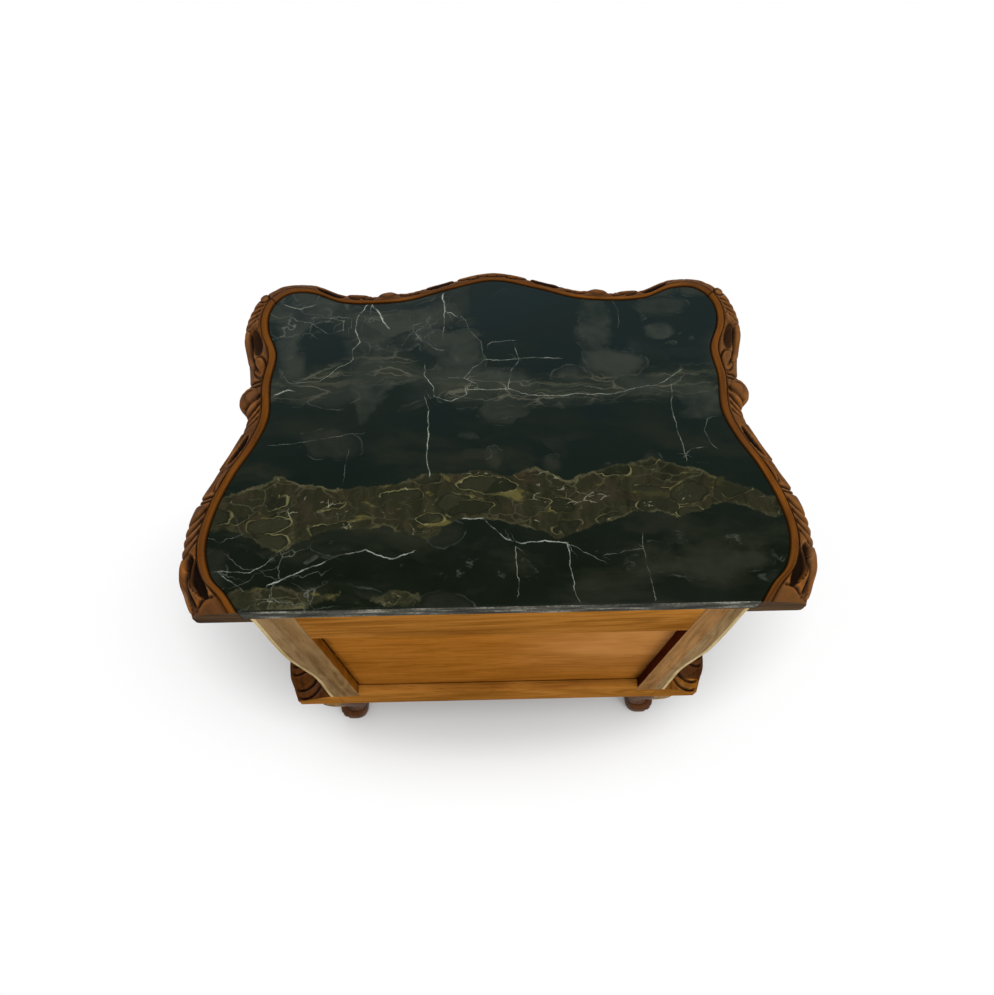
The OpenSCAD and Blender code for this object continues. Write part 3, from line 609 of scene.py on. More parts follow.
def frame_shade_and_lit_patch(colour, own, tone, patch, dark, frame_edges):
    """A darker band along a panel's frame with a painted shadow gap in it, and a painted lit patch toward -X.
    """
    half, bottom, top = frame_edges
    x, _, z = own.split()
    near = (half - abs(x)).math("MINIMUM", (z - bottom).math("MINIMUM", top - z))
    # darker toward the frame's edges
    frame_band = (near - own.noise(40, 3) * 0.012).fit(0.004, -0.005, soft=True)
    colour = colour.toward(dimmed(dark, 0.35), frame_band * 0.55)
    # painted shadow: a dark gap line just inside the frame
    shadow_gap = near.fit(0.0026, 0.0014) * own.noise(30, 3).fit(0.35, 0.5, 0.3, 1.0)
    colour = colour.toward(dimmed(dark, 0.08), shadow_gap * 0.85)
    # painted light: the panel paler toward -X, where the light falls
    pale = x.fit(0.03, -0.13, soft=True) * z.fit(bottom + 0.02, bottom + 0.12)
    lit_colour = tone.between((0.33, 0.135, 0.033), (0.50, 0.235, 0.075))
    return colour.toward(lit_colour, pale * patch.fit(0, 1, 0.35, 0.85))


def carved_wear_and_painted_light(colour, net, where, light):
    """Stain that is worn off the lip, a painted lit zone toward -X, high places worn pale with a painted
    highlight, and painted shade in hollows. Also gives that hollow shade, which also makes hollows rougher."""
    own = net.where()
    x, _, z = own.split()
    field = net.attribute("field")
    worn = where.stretched((9, 60, 60)).noise(1, 5, 0.65).fit(0.42, 0.66, 0.0, 0.75)
    colour = colour.toward((0.058, 0.0200, 0.0050), worn * (1 - field))
    colour = colour.toward((0.052, 0.0235, 0.0110), field * own.noise(60, 4).fit(0.3, 0.7, 0.35, 1.0))
    # painted light: the carved field paler toward -X, the side the light comes from
    lit_side = x.fit(-0.14, -0.27, 0, 0.65, soft=True) * z.fit(0.58, 0.60)
    colour = colour.toward((0.106, 0.0435, 0.0110), lit_side * field)
    dust = own.noise(26, 4).fit(0.35, 0.65)
    rub_and_highlight_tint = dust.between(dimmed(light, 1.8), (1.7 * light[0], 2.5 * light[1], 5 * light[2] + 0.03))
    # wear with a painted highlight: high places and the lip's outer edge made paler
    rub_and_highlight = net.attribute("wear_and_highlight").math("POWER", 0.8) * own.noise(55, 4).fit(0.35, 0.65, 0.15, 0.75)
    colour = colour.toward(rub_and_highlight_tint, rub_and_highlight)
    # painted shade: hollows darkened nearly to black
    hollow_shade = net.attribute("cavity_shade").math("POWER", 0.6)
    return colour.toward((0.0030, 0.0011, 0.0005), hollow_shade * 0.97), hollow_shade


def wood(name, dark, light, along="X", rough=0.42, specular=0.35, rings=1.0, burl=0.0, grime=0.0,
         carved=False, framed=None):
    """Wood with growth rings, fibres and open pores running along an axis or the grain attribute.
    framed gives the half width, lower and upper edge in metres of the frame round a panel."""
    net = new_net(name)
    where = net.where(along)
    if burl:
        x, y, z = where.split()
        where = net.join(x, y, abs(z)).warped(14, 0.05 * burl, 4)
    ring = (where.stretched((1.6, 11, 11)).noise(1, 3, 0.55, 0.4) * 95).math("SINE") * 0.5 + 0.5
    fibre = where.stretched((7, 240, 240)).noise(1, 4, 0.65).fit(0.3, 0.7)
    patch = where.stretched((5, 14, 14)).noise(1, 3).fit(0.3, 0.7)
    pores = where.stretched((55, 1300, 1300)).noise(1, 2).fit(0.60, 0.70) * 0.6
    tone = ring * (0.28 * rings) + fibre * 0.36 + patch * 0.36
    middle = tuple(0.5 * (a + b) for a, b in zip(dark, light))
    colour = tone.ramp((0.10, dark), (0.45, middle), (0.85, light))
    colour = colour.toward(dimmed(dark, 0.4), pores)
    if grime:
        stain = where.stretched((3, 9, 9), (7, 3, 1)).noise(1, 5, 0.6).fit(0.48, 0.72)
        colour = colour.toward(dimmed(dark, 0.45), stain * grime)
    # painted shade and light along the panel's frame
    if framed:
        colour = frame_shade_and_lit_patch(colour, net.where(), tone, patch, dark, framed)
    sheen = fibre.fit(0, 1, rough + 0.07, rough - 0.05)
    if carved:
        colour, hollow_shade = carved_wear_and_painted_light(colour, net, where, light)
        sheen = (hollow_shade * 0.3).math("ADD", sheen, clamp=True)
    return net.surface(colour, sheen, specular, normal=(fibre * 0.4 - pores).bump(0.00025, 0.6))


# Pale cracks of the marble: half width in millimetres, brightness, points
CRACKS = [
    (0.8, 1.0, [(71, -14), (67, 8), (70, 40), (66, 64)]),
    (1.3, 1.2, [(130, -142), (112, -113)]),
    (1.1, 1.1, [(54, -155), (52, -138), (52, -132)]),
    (0.6, 0.8, [(52, -132), (52, -124), (54, -99)]),
    (0.6, 0.9, [(52, -132), (46, -132), (39, -126)]),
    (0.6, 0.6, [(-182, -34), (-180, -3), (-187, 52)]),
    (0.6, 0.5, [(263, 159), (231, 161), (211, 147)]),
    (0.6, 0.5, [(259, 161), (236, 178)]),
    (0.8, 0.9, [(212, 173), (182, 161), (151, 145), (126, 140), (101, 150), (81, 144)]),
    (0.8, 1.0, [(33, 111), (15, 111), (-4, 131), (-21, 139), (-42, 135), (-64, 137)]),
    (0.5, 0.6, [(-12, 129), (-17, 160), (-16, 188)]),
    (0.6, 0.7, [(-64, 137), (-65, 161), (-71, 194)]),
    (0.5, 0.5, [(-135, 130), (-136, 151), (-141, 194)]),
    (0.4, 0.4, [(-67, 140), (-98, 158)]),
    (0.4, 0.4, [(-99, 150), (-132, 145)]),
    (0.8, 0.9, [(136, -142), (142, -134), (147, -128), (147, -108), (142, -95), (150, -85), (148, -72)]),
    (0.5, 0.5, [(148, -72), (165, -60), (181, -45), (212, -45), (220, -57)]),
    (0.5, 0.45, [(94, -112), (89, -112), (79, -98), (61, -83), (53, -83)]),
    (0.5, 0.4, [(94, -112), (77, -117)]),
    (0.6, 0.6, [(32, -47), (24, -59), (11, -69), (-12, -69), (-44, -71), (-69, -69)]),
    (0.6, 0.7, [(-22, -83), (-25, -68), (-18, -54), (-13, -34)]),
    (0.6, 0.7, [(28, -33), (5, -33), (-13, -33), (-35, -25), (-66, -25), (-112, -25), (-166, -34),
                (-193, -53)]),
    (0.7, 0.8, [(74, -63), (74, -51), (64, -38), (62, -26), (47, -20), (28, -27), (31, -34)]),
    (0.5, 0.5, [(47, -48), (32, -47), (20, -40)]),
    (0.5, 0.5, [(6, -89), (2, -93), (-21, -94)]),
    (0.4, 0.35, [(34, -126), (25, -108), (13, -92), (11, -72)]),
    (0.9, 0.8, [(225, -31), (213, -36), (207, -34)]),
    (0.6, 0.6, [(226, -145), (209, -138), (193, -144)]),
    (0.5, 0.4, [(194, -127), (159, -124), (160, -110), (174, -104), (191, -118), (194, -127)]),
    (0.4, 0.5, [(73, -24), (69, -8)]),
    (0.4, 0.35, [(225, 28), (196, 26), (166, 21), (146, 17), (134, 16)]),
    (0.4, 0.3, [(147, 35), (149, 54), (151, 72)]),
    (0.5, 0.6, [(-185, 49), (-193, 41), (-208, 38)]),
    (0.4, 0.4, [(-214, 7), (-210, 19), (-214, 33), (-219, 39)]),
    (0.4, 0.35, [(-130, -150), (-134, -131), (-133, -109)]),
]
# Front and back edge of the gold band, the middle of the faint one, and gold patches at the back
BAND_FRONT = np.array([
    (-290, 95), (-266, 95), (-232, 78), (-196, 63), (-152, 50), (-106, 59), (-68, 74), (-39, 58), (-8, 67),
    (21, 59), (81, 66), (114, 76), (162, 77), (215, 63), (265, 84), (290, 84)])
BAND_BACK = np.array([
    (-290, 113), (-263, 113), (-221, 98), (-171, 113), (-136, 104), (-98, 119), (-53, 132), (-25, 120),
    (15, 111), (37, 109), (69, 132), (109, 117), (163, 122), (208, 140), (261, 116), (290, 116)])
FAINT = np.array([
    (-290, -47), (-233, -47), (-181, -38), (-110, -34), (-15, -31), (35, -31), (65, -52), (103, -62),
    (144, -64), (179, -45), (226, -42), (290, -42)])
PATCHES = [(203, 186, 45, 11), (92, 189, 22, 8)]
# Clouds of the dark ground: middle, half axes, and how pale or, below zero, how dark
CLOUDS = [
    (213, -90, 16, 38, 0.9), (178, -79, 26, 34, -1.2), (194, -133, 42, 24, 0.7), (135, -106, 30, 28, 0.75),
    (128, -43, 19, 26, 1.0), (134, -9, 9, 26, 0.8), (50, -112, 34, 34, 0.75), (33, -78, 24, 20, 0.9),
    (5, -43, 48, 14, 0.8), (99, -56, 40, 16, 0.7), (-29, -122, 66, 34, -1.0), (-186, 157, 70, 22, 0.55),
    (-124, -62, 30, 15, 0.8), (-165, -35, 30, 14, 0.5), (87, 13, 60, 26, -0.6), (-64, 16, 90, 28, -0.5),
    (-103, -112, 20, 28, 1.15), (-177, -102, 14, 9, 1.1), (-209, -18, 24, 18, 0.9), (-7, -1, 22, 8, 0.8),
    (31, 20, 15, 9, 0.7), (2, 45, 9, 22, 0.8), (-55, 47, 11, 20, 0.8),
]


def marble_fields(x, y):
    """What the marble's drawing needs at points of the slab: the signed distance to the nearest
    crack, its brightness and its half width, and how far inside the gold and the faint band."""
    best = np.full(x.shape, 1e9)
    side, bright, width = np.zeros_like(best), np.zeros_like(best), np.full(x.shape, 0.5)
    for half, level, points in CRACKS:
        points = np.array(points, float)
        for i, (a, b) in enumerate(zip(points[:-1], points[1:])):
            d = b - a
            along = ((x - a[0]) * d[0] + (y - a[1]) * d[1]) / (d @ d)
            h = np.clip(along, 0, 1)
            px, py = x - a[0] - h * d[0], y - a[1] - h * d[1]
            gap = np.hypot(px, py)
            over = np.zeros_like(gap)
            if i == 0:
                over = np.maximum(over, -along)
            if i == len(points) - 2:
                over = np.maximum(over, along - 1)
            fade = np.clip(1 - over * math.sqrt(d @ d) / 4, 0, 1) * np.clip(2 - gap / 5, 0, 1)
            closer = gap < best
            best = np.where(closer, gap, best)
            side = np.where(closer, gap * np.sign(d[0] * py - d[1] * px), side)
            bright = np.where(closer, level * fade, bright)
            width = np.where(closer, half, width)
    band = np.minimum(y - np.interp(x, *BAND_FRONT.T), np.interp(x, *BAND_BACK.T) - y)
    for cx, cy, rx, ry in PATCHES:
        band = np.maximum(band, ry * (1 - np.hypot((x - cx) / rx, (y - cy) / ry)))
    faint = np.abs(y - np.interp(x, *FAINT.T))
    cloud = sum(level * np.clip(1.5 - np.hypot((x - cx) / rx, (y - cy) / ry), 0, 1)
                for cx, cy, rx, ry, level in CLOUDS)
    return np.stack([side, bright, width], -1), np.stack([band, faint, cloud], -1)


def grey_clouds(base, where, cloud):
    """Soft grey clouds: placed ones with torn edges and thin outlines, then scattered ones."""
    x, y, _ = where.split()
    torn = (where.warped(40, 0.010, 3).stretched((22, 40, 30)).noise(1, 4, 0.6) - 0.5) * 1.9 + cloud
    # painted reflection: the placed clouds lighter toward the front, as the ground is
    haze = y.fit(-0.05, 0.08).between((0.0275, 0.0325, 0.0262), (0.0165, 0.0180, 0.0110))
    placed = torn.fit(0.18, 0.74, soft=True) * where.noise(34, 5, 0.62).fit(0.33, 0.68, 0.22, 0.92)
    base = base.toward(haze, placed)
    shore = abs(torn - 0.32).fit(0.05, 0.0, soft=True) * where.noise(44, 3).fit(0.50, 0.62)
    base = base.toward((0.046, 0.053, 0.043), shore * 0.5)
    loose = where.warped(17, 0.021, 2).warped(80, 0.0035, 2)
    crowd = x.fit(-0.05, 0.07, soft=True) * y.fit(0.01, -0.05, soft=True) * 0.85
    crowd += where.noise(9, 2).fit(0.42, 0.60, 0.12, 0.45)
    for scale, blur, strength in (((8, 13, 15), 0.40, 1.0), ((17, 34, 26), 0.22, 0.8)):
        gap = loose.stretched(scale).cells()
        pick, level, size = gap.other("Color").split()
        wall = size.fit(0, 1, 0.36, 0.70) - gap
        shown = (pick - (1 - crowd)).fit(0.0, 0.04) * cloud.fit(0.0, -0.6, 1.0, 0.0)
        haze = level.between((0.0135, 0.0180, 0.0150), (0.0290, 0.0330, 0.0265))
        # painted reflection: the scattered clouds darker toward the back, as the ground is
        haze = haze.toward((0.0100, 0.0112, 0.0070), y.fit(-0.05, 0.06, 0, 0.85))
        uneven = where.noise(38, 5, 0.65).fit(0.3, 0.7, 0.35 * strength, 1.25 * strength)
        base = base.toward(haze, wall.fit(0.0, blur, soft=True) * shown * uneven)
    outline = wall.fit(0.0, 0.02) * wall.fit(0.06, 0.03) * shown * where.noise(55, 3).fit(0.45, 0.62)
    return base.toward((0.052, 0.058, 0.047), outline * 0.45)


def gold_band(base, where, bent, inside):
    """The gold band, with dark lenses ringed with gold, crackle between them and a few bright
    flecks. Also gives the walls of its cells."""
    gap = bent.stretched((22, 52, 40)).cells()
    pick, bright, size = gap.other("Color").split()
    hollow = size.fit(0, 1, 0.34, 0.60) - gap
    dark = hollow.fit(0.0, 0.06, soft=True) * pick.fit(0.30, 0.36)
    glow = where.noise(26, 4, 0.6).fit(0.40, 0.68, 0.05, 1.0)
    fill = bent.stretched((110, 26, 30)).noise(1, 4, 0.6).fit(0.3, 0.75).ramp(
        (0.0, (0.0082, 0.0088, 0.0044)), (0.55, (0.0160, 0.0158, 0.0078)), (1.0, (0.027, 0.0248, 0.0120)))
    red = where.stretched((30, 50, 30), (4, 2, 0)).noise(1, 3).fit(0.55, 0.68)
    fill = fill.toward((0.030, 0.0210, 0.0115), red * 0.4)
    ochre = bent.stretched((30, 75, 30)).noise(1, 3).fit(0.60, 0.70, soft=True)
    fill = fill.toward((0.074, 0.064, 0.019), ochre * 0.8)
    crackle = bent.stretched((34, 66, 50)).edges().fit(0.045, 0.0)
    fill = fill.toward((0.090, 0.083, 0.046), crackle * glow * 0.45)
    lens = bright.between((0.0080, 0.0098, 0.0050), (0.0190, 0.0200, 0.0105))
    fill = fill.toward(lens, dark * 0.8)
    shadow = hollow.fit(0.0, 0.02, soft=True) * hollow.fit(0.10, 0.04, soft=True) * dark
    fill = fill.toward((0.0055, 0.0058, 0.0034), shadow * 0.7)
    thick = where.noise(40, 3).fit(0.35, 0.65, 0.006, 0.042)
    walls = abs(hollow).fit(thick, 0.0, soft=True) * pick.fit(0.22, 0.30)
    walls = walls * where.noise(33, 3, 0.6).fit(0.44, 0.60)
    fill = fill.toward((0.135, 0.127, 0.054), walls * 0.85)
    fleck = bent.stretched((60, 110, 70)).edges().fit(0.045, 0.0) * where.noise(38, 5, 0.65).fit(0.60, 0.68)
    fill = fill.toward((0.24, 0.23, 0.16), fleck * 0.8)
    colour = base.toward(fill, inside.fit(-1.0, 2.0, soft=True))
    edge = inside.fit(-1.0, 0.6, soft=True) * inside.fit(3.5, 1.0, soft=True)
    return colour.toward((0.085, 0.079, 0.040), edge * glow.fit(0.3, 1.0, 0.05, 0.65)), walls


def hair_lines(colour, where, bent, aside):
    """Pale hair lines: long ones in the faint band, a net of them at the front and back left."""
    x, y, _ = where.split()
    faint = aside.fit(24.0, 6.0)
    patchy = where.noise(24, 3).fit(0.42, 0.60)
    colour = colour.toward((0.0200, 0.0235, 0.0165), faint * patchy.fit(0, 1, 0.15, 0.6))
    lines = bent.stretched((11, 62, 30)).edges().fit(0.035, 0.0)
    colour = colour.toward((0.115, 0.113, 0.080), lines * faint * patchy * 0.5)
    stacked = bent.stretched((9, 190, 30)).noise(1, 3).fit(0.53, 0.62)
    stacked = stacked * faint * where.noise(21, 3).fit(0.42, 0.58)
    colour = colour.toward((0.046, 0.049, 0.030), stacked * 0.55)
    fretted = bent.warped(260, 0.0012, 2).stretched((22, 36, 30)).edges().fit(0.014, 0.0)
    front_left = x.fit(0.02, 0.14, soft=True) * y.fit(-0.07, -0.11, soft=True)
    back_left = x.fit(0.13, 0.19, soft=True) * y.fit(0.10, 0.13, soft=True)
    region = front_left.math("MAXIMUM", back_left) * where.noise(30, 3).fit(0.42, 0.58)
    return colour.toward((0.13, 0.145, 0.120), fretted * region * 0.5)


def marble():
    """Near-black marble with one strong band of gold cells, a faint one, grey clouds and cracks.
    The slab's own fields, in millimetres, place them, and noise makes their edges ragged."""
    net = new_net("marble")
    where = net.where()
    y = where.split()[1]
    inside, aside, cloud = net.attribute("bands", "Vector").split()
    # painted reflection: the ground lighter and bluer toward the front, darker toward the back
    base = y.fit(-0.18, 0.16).between((0.0075, 0.0140, 0.0150), (0.0026, 0.0046, 0.0020))
    base = base.toward((0.0085, 0.0118, 0.0078), where.noise(16, 6, 0.6).fit(0.35, 0.7) * 0.35)
    drift = where.warped(12, 0.02, 2).stretched((8, 26, 20)).noise(1, 5, 0.6).fit(0.47, 0.72)
    base = base.toward((0.0150, 0.0165, 0.0100), drift * y.fit(-0.02, 0.06, 0.2, 0.85))
    base = grey_clouds(base, where, cloud)
    ragged = (where.noise(45, 5, 0.65) - 0.5) * 22.0
    bent = where.warped(26, 0.013, 3).warped(120, 0.0026, 2)
    colour, walls = gold_band(base, where, bent, ragged + inside)
    colour = hair_lines(colour, where, bent, ragged + aside)

    # Pale cracks, which sway from their lines and are broken up along them
    offset, bright, width = net.attribute("crack", "Vector").split()
    sway = (where.noise(48, 4, 0.6) - 0.5) * 9.0
    broken = where.noise(70, 4, 0.65).fit(0.38, 0.60, 0.10, 1.0)
    crack = abs(offset + sway).fit(width, 0.0, soft=True) * bright
    crack = crack.math("MULTIPLY", broken, clamp=True)
    colour = colour.toward((0.30, 0.32, 0.27), crack * 0.85)
    rough = where.noise(60, 4).fit(0.3, 0.7, 0.16, 0.24)
    height = crack * -0.6 + walls * -0.2
    return net.surface(colour, rough, 0.02, normal=height.bump(0.00012, 0.5))


def sawn_stone():
    """The rough back edge of the slab, grey with bright crystal faces."""
    net = new_net("sawn_stone")
    where = net.where()
    grain = where.noise(420, 5, 0.7)
    patch = where.stretched((20, 60, 120)).noise(1, 4).fit(0.35, 0.65)
    colour = (grain * 0.6 + patch * 0.4).ramp((0.34, (0.018, 0.020, 0.016)), (0.56, (0.066, 0.066, 0.052)),
                                              (0.74, (0.27, 0.26, 0.22)))
    return net.surface(colour, 0.75, 0.05, normal=grain.bump(0.0008, 0.7))


def metal(name, colour, tarnish, rough=0.3, stain=0.6):
    """Old polished metal with brown tarnish in patches."""
    net = new_net(name)
    where = net.where()
    patch = where.noise(140, 5, 0.65).fit(0.42, 0.70)
    hairs = where.stretched((2500, 900, 60)).noise(1, 2)
    shine = patch * 0.25 + hairs.fit(0.3, 0.7, rough - 0.05, rough + 0.07)
    colour = (patch * stain).between(colour, tarnish)
    return net.surface(colour, shine, metal=1.0, normal=hairs.bump(0.00004, 0.4))


PANEL_FRAME = (-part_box("post_back_left")[1][0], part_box("back_rail_bottom")[1][2],
               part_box("back_rail_top")[0][2])

# Each wood: dark and light colour, axis of its grain, roughness, specular level, and what is special
RIM_WOOD = wood("rim_wood", (0.042, 0.013, 0.001), (0.155, 0.050, 0.0042), "grain", 0.40, 0.03, carved=True)
BASE_WOOD = wood("base_wood", (0.022, 0.0055, 0.001), (0.078, 0.025, 0.003), "grain", 0.45, 0.03, carved=True)
# painted light: a brighter copy of the base wood for the base's back end on -X, which faces the light
BASE_LIT = wood("base_lit", (0.066, 0.019, 0.001), (0.245, 0.090, 0.008), "grain", 0.45, 0.03, carved=True)
LEG_WOOD = wood("leg_wood", (0.028, 0.009, 0.001), (0.090, 0.030, 0.005), "Z", 0.42, 0.05, carved=True)
FRAME_WOOD = wood("frame_wood", (0.045, 0.015, 0.003), (0.14, 0.050, 0.010), "X", 0.34, 0.25)
POST_WOOD = wood("post_wood", (0.045, 0.015, 0.003), (0.14, 0.050, 0.010), "Z", 0.34, 0.25)
SIDE_WOOD = wood("side_wood", (0.060, 0.021, 0.004), (0.21, 0.084, 0.018), "Z", 0.30, 0.30, rings=1.4)
BURL_WOOD = wood("burl_wood", (0.045, 0.014, 0.002), (0.23, 0.085, 0.018), "Z", 0.26, 0.32, rings=1.6,
                 burl=0.6)
BEAD_WOOD = wood("bead_wood", (0.032, 0.011, 0.002), (0.10, 0.034, 0.007), "X", 0.32, 0.30)
RAW_SIDE = wood("raw_side", (0.15, 0.088, 0.036), (0.31, 0.20, 0.095), "Z", 0.75, 0.0, grime=0.4)
STILE_WOOD = wood("stile_wood", (0.13, 0.072, 0.026), (0.28, 0.168, 0.072), "Z", 0.65, 0.0, grime=0.5)
STILE_PINK = wood("stile_pink", (0.156, 0.075, 0.026), (0.325, 0.171, 0.064), "Z", 0.65, 0.0, grime=0.5)
RAIL_WOOD = wood("rail_wood", (0.16, 0.056, 0.006), (0.38, 0.158, 0.028), "X", 0.6, 0.0, grime=0.3)
PANEL_WOOD = wood("panel_wood", (0.20, 0.066, 0.0055), (0.37, 0.142, 0.020), "X", 0.6, 0.0, rings=0.7,
                  grime=0.12, framed=PANEL_FRAME)
# A lit and a painted-shade copy of one reveal wood, for the stiles' inner faces toward the light and away
# from it
LIT_REVEAL = wood("lit_reveal", (0.10, 0.030, 0.002), (0.24, 0.085, 0.009), "Z", 0.65, 0.0, grime=0.5)
SHADED_REVEAL = wood("shaded_reveal", (0.022, 0.0045, 0.0015), (0.065, 0.012, 0.0035), "Z", 0.65, 0.0, grime=0.5)
EDGE_WOOD = wood("edge_wood", (0.34, 0.24, 0.10), (0.60, 0.48, 0.26), "Z", 0.7, 0.0, grime=0.4)
SAWN_WOOD = wood("sawn_wood", (0.030, 0.019, 0.012), (0.13, 0.078, 0.042), "X", 0.75, 0.0, grime=0.5)
BOARD_WOOD = wood("board_wood", (0.24, 0.125, 0.050), (0.50, 0.32, 0.16), "X", 0.65, 0.10, grime=0.2)
DRAWER_WOOD = wood("drawer_wood", (0.28, 0.155, 0.070), (0.54, 0.36, 0.19), "Y", 0.6, 0.10, grime=0.15)
MARBLE = marble()
SAWN_STONE = sawn_stone()
BRASS = metal("brass", (0.62, 0.44, 0.17), (0.16, 0.085, 0.03))
STEEL = metal("lock_steel", (0.40, 0.37, 0.33), (0.12, 0.07, 0.04), rough=0.42, stain=0.8)


# ---------------------------------------------------------------------------------------------
# Top: carved rim and marble slab
# ---------------------------------------------------------------------------------------------

def carve_rim(r):
    """The rim's carving, the same on both halves, by arc length from the middle of the front and
    distance inward from the outer edge."""
    for i in range(6):                                       # palmette in the middle of the front
        r.cut([(1.5 + 2.6 * i, 7), (3 + 5 * i, 2), (4 + 6.6 * i, -5), (4 + 7 * i, -14)])
    for s, c in ((-6, 17), (3, 15.5), (14, 17), (25, 15.5)):
        r.cut([(s, c), (s + 7, c + 1), (s + 15, c - 0.5)], 0.9, 1.6)
    for s in (82, 92, 134, 148):                             # strokes above the ropes
        r.cut([(s, 18), (s + 7, 17), (s + 14, 15.5)], 0.9, 1.7)
    r.cut([(41, 16), (43, 6), (41, -9)], 1.3)
    r.dish(59, 15.8, 17, 4.4, 3.4, shade=1.0)                # hollow beside it
    r.ridge([(44, 0), (58, -2.5), (74, 0)], 2.4, 1.4)
    r.cuts(4, 7, [(76, 13), (85, 5), (89, -6)])              # rope before the bud
    r.outline(119, 0, 10, 11, width=1.2, depth=1.8)          # front bud
    r.swell(119, 4, 13, 14, 5.0)
    for s in (112, 119, 126):
        r.cut([(s, 7), (119 + 0.5 * (s - 119), 0), (119, -8)], 0.9, 1.0)
    r.cuts(2, 4, [(131, 15), (133, 5), (131, -9)], 1.0)      # collar
    r.dome(152, 7, 14, 7, 1.4)                               # pad
    r.outline(152, 7, 15, 8)
    r.dish(183, 15.5, 18, 5.4, 3.8, shade=1.0)               # hollow
    r.ridge([(166, 0), (181, -1.5), (197, 0)], 2.4, 1.0)
    r.cut([(165, 13), (181, 14.5), (198, 13)], 1.0)
    r.cuts(4, 13, [(202, 15), (214, 10), (228, 2), (240, -9)], 1.3, 2.0)      # leaf round the corner
    r.outline(271, 9, 7, 6.5)
    r.dome(271, 9, 6, 5.5, 1.6)
    r.cuts(4, 9, [(278, 16), (286, 8), (292, -2), (295, -9)], 1.2, 2.0)       # strokes toward the scroll
    r.dome(312, 14, 8, 5, 1.2)
    r.dish(338, 13.5, 18, 7.5, 4.6, -3)                      # scroll with a hollow
    r.outline(338, 13.5, 18, 7.5, -3, 1.3, 1.6)
    r.ridge([(324, 6), (338, 1.5), (354, 1), (370, 6)], 4.2, 1.5)
    r.cut([(322, 8), (337, 5), (354, 4.5), (371, 9), (380, 14)], 1.2, 2.6)
    r.dome(372, 14, 13, 6.5, 2.2)
    r.outline(372, 14, 14, 7.5, 0, 1.2, 1.8)
    r.cuts(2, 5, [(389, 17), (390, 6), (389, -9)], 1.1, 1.9)                  # collar
    r.swell(408, -3, 19, 16, 11.0)                           # side bud
    r.cut([(398, 9), (405, 4), (416, 3), (424, -5)], 1.2, 1.6)
    r.cut([(396, 4), (404, -1), (415, -3), (422, -10)], 1.0, 1.2)
    r.cuts(4, 9, [(402, 17), (412, 9), (420, 0), (424, -8)], 1.3, 2.2)        # rope across the bud
    r.dish(472, 11, 19, 4.3, 5.0, -6, 0.6)                   # long hollow
    r.ridge([(452, 6), (470, 3.5), (493, 3.5)], 2.8, 1.4)
    r.cut([(450, 2), (470, -1), (495, -1)], 1.1, 1.8)
    r.swell(560, -4, 62, 14, 2.6)
    r.dome(507, 15, 14, 4.5, 1.5)                            # pad
    r.outline(507, 15, 15, 5.5)
    r.cut([(494, 8), (508, 5), (522, 7)], 1.1, 1.8)
    r.cuts(2, 5, [(525, 18), (528, 6), (527, -9)], 1.1, 2.0)                  # collar
    r.cuts(4, 11, [(536, 17), (548, 9), (557, 0), (560, -9)], 1.3, 2.3)       # leaf
    r.dome(583, 15, 9, 6, 1.5)
    r.dish(609, 15, 24, 9, 6.5, 14, 0.5)                     # last scroll with its hollow
    r.ridge([(590, 17), (600, 12), (613, 10), (626, 14)], 2.4, 3.2)
    r.ridge([(592, 5), (610, 0), (629, -1), (643, 3)], 4.0, 2.4)
    r.cut([(590, 9), (606, 5), (624, 4), (642, 8)], 1.3, 2.6)
    r.cut([(629, 30), (632, 18), (641, 8)], 1.1, 1.6)
    r.cut([(588, 20), (600, 24), (618, 28), (632, 33)], 1.1, 1.6)


# Outer slope of the rim in the middle of the front, and elsewhere: share of the width, height
SLOPE_FRONT = np.array([
    (1, 638), (0.66, 636.5), (0.47, 630.5), (0.28, 624), (0.10, 619.5), (0, 616), (0, 612)]).T
SLOPE_SIDE = np.array([
    (1, 638), (0.74, 637.2), (0.42, 634.6), (0.16, 630), (0.02, 624.5), (0, 618), (0, 612)]).T
# Lip beside the marble: distance from its inner edge, height
LIP = [(0, 618), (0, 628), (0, 636.6), (0.4, 638), (1.4, 639), (2.8, 639.7), (4.4, 639.85), (6.0, 639.5),
       (7.2, 638.7), (7.8, 637.4), (8.2, 637.0)]
SLOPE_STEPS, RIM_STEP = 46, 0.95


def rim_profile(t):
    """Sections of the rim at stations t, as distances inward and heights, and the carved share of
    each point. The points run up the marble's seat, over the lip, down the outside and back."""
    w, over = station(t)[:, 3:5].T
    full = np.clip((np.abs(t) - 4.2) / 3.0, 0, 1)
    wide = 0.50 + 0.50 * full
    edge = w - LIP_W * wide
    full = full[:, None]
    slope_n = edge[:, None] * ((1 - full) * SLOPE_FRONT[0] + full * SLOPE_SIDE[0])
    slope_z = (1 - full) * SLOPE_FRONT[1] + full * SLOPE_SIDE[1]
    slope_n[:, 0] += 1.4 * wide
    lip = sections(w.shape, [(w - inset * wide, z) for inset, z in LIP])
    under = sections(w.shape, [(0.6, RIM_Z + 1.4), (2.2, RIM_Z + 0.2), (4, RIM_Z), (over, RIM_Z),
                               (over, SEAT_Z)])
    n = np.hstack([lip[0], resampled(slope_n, SLOPE_STEPS), under[0]])
    z = np.hstack([lip[1], resampled(slope_z, SLOPE_STEPS), under[1]])
    weight = np.zeros(n.shape)
    k = np.arange(SLOPE_STEPS)
    carved = np.clip(k / 2.5, 0, 1) * np.clip((SLOPE_STEPS - k) / 6, 0, 1)
    weight[:, len(LIP):len(LIP) + SLOPE_STEPS] = carved
    return n, z, weight


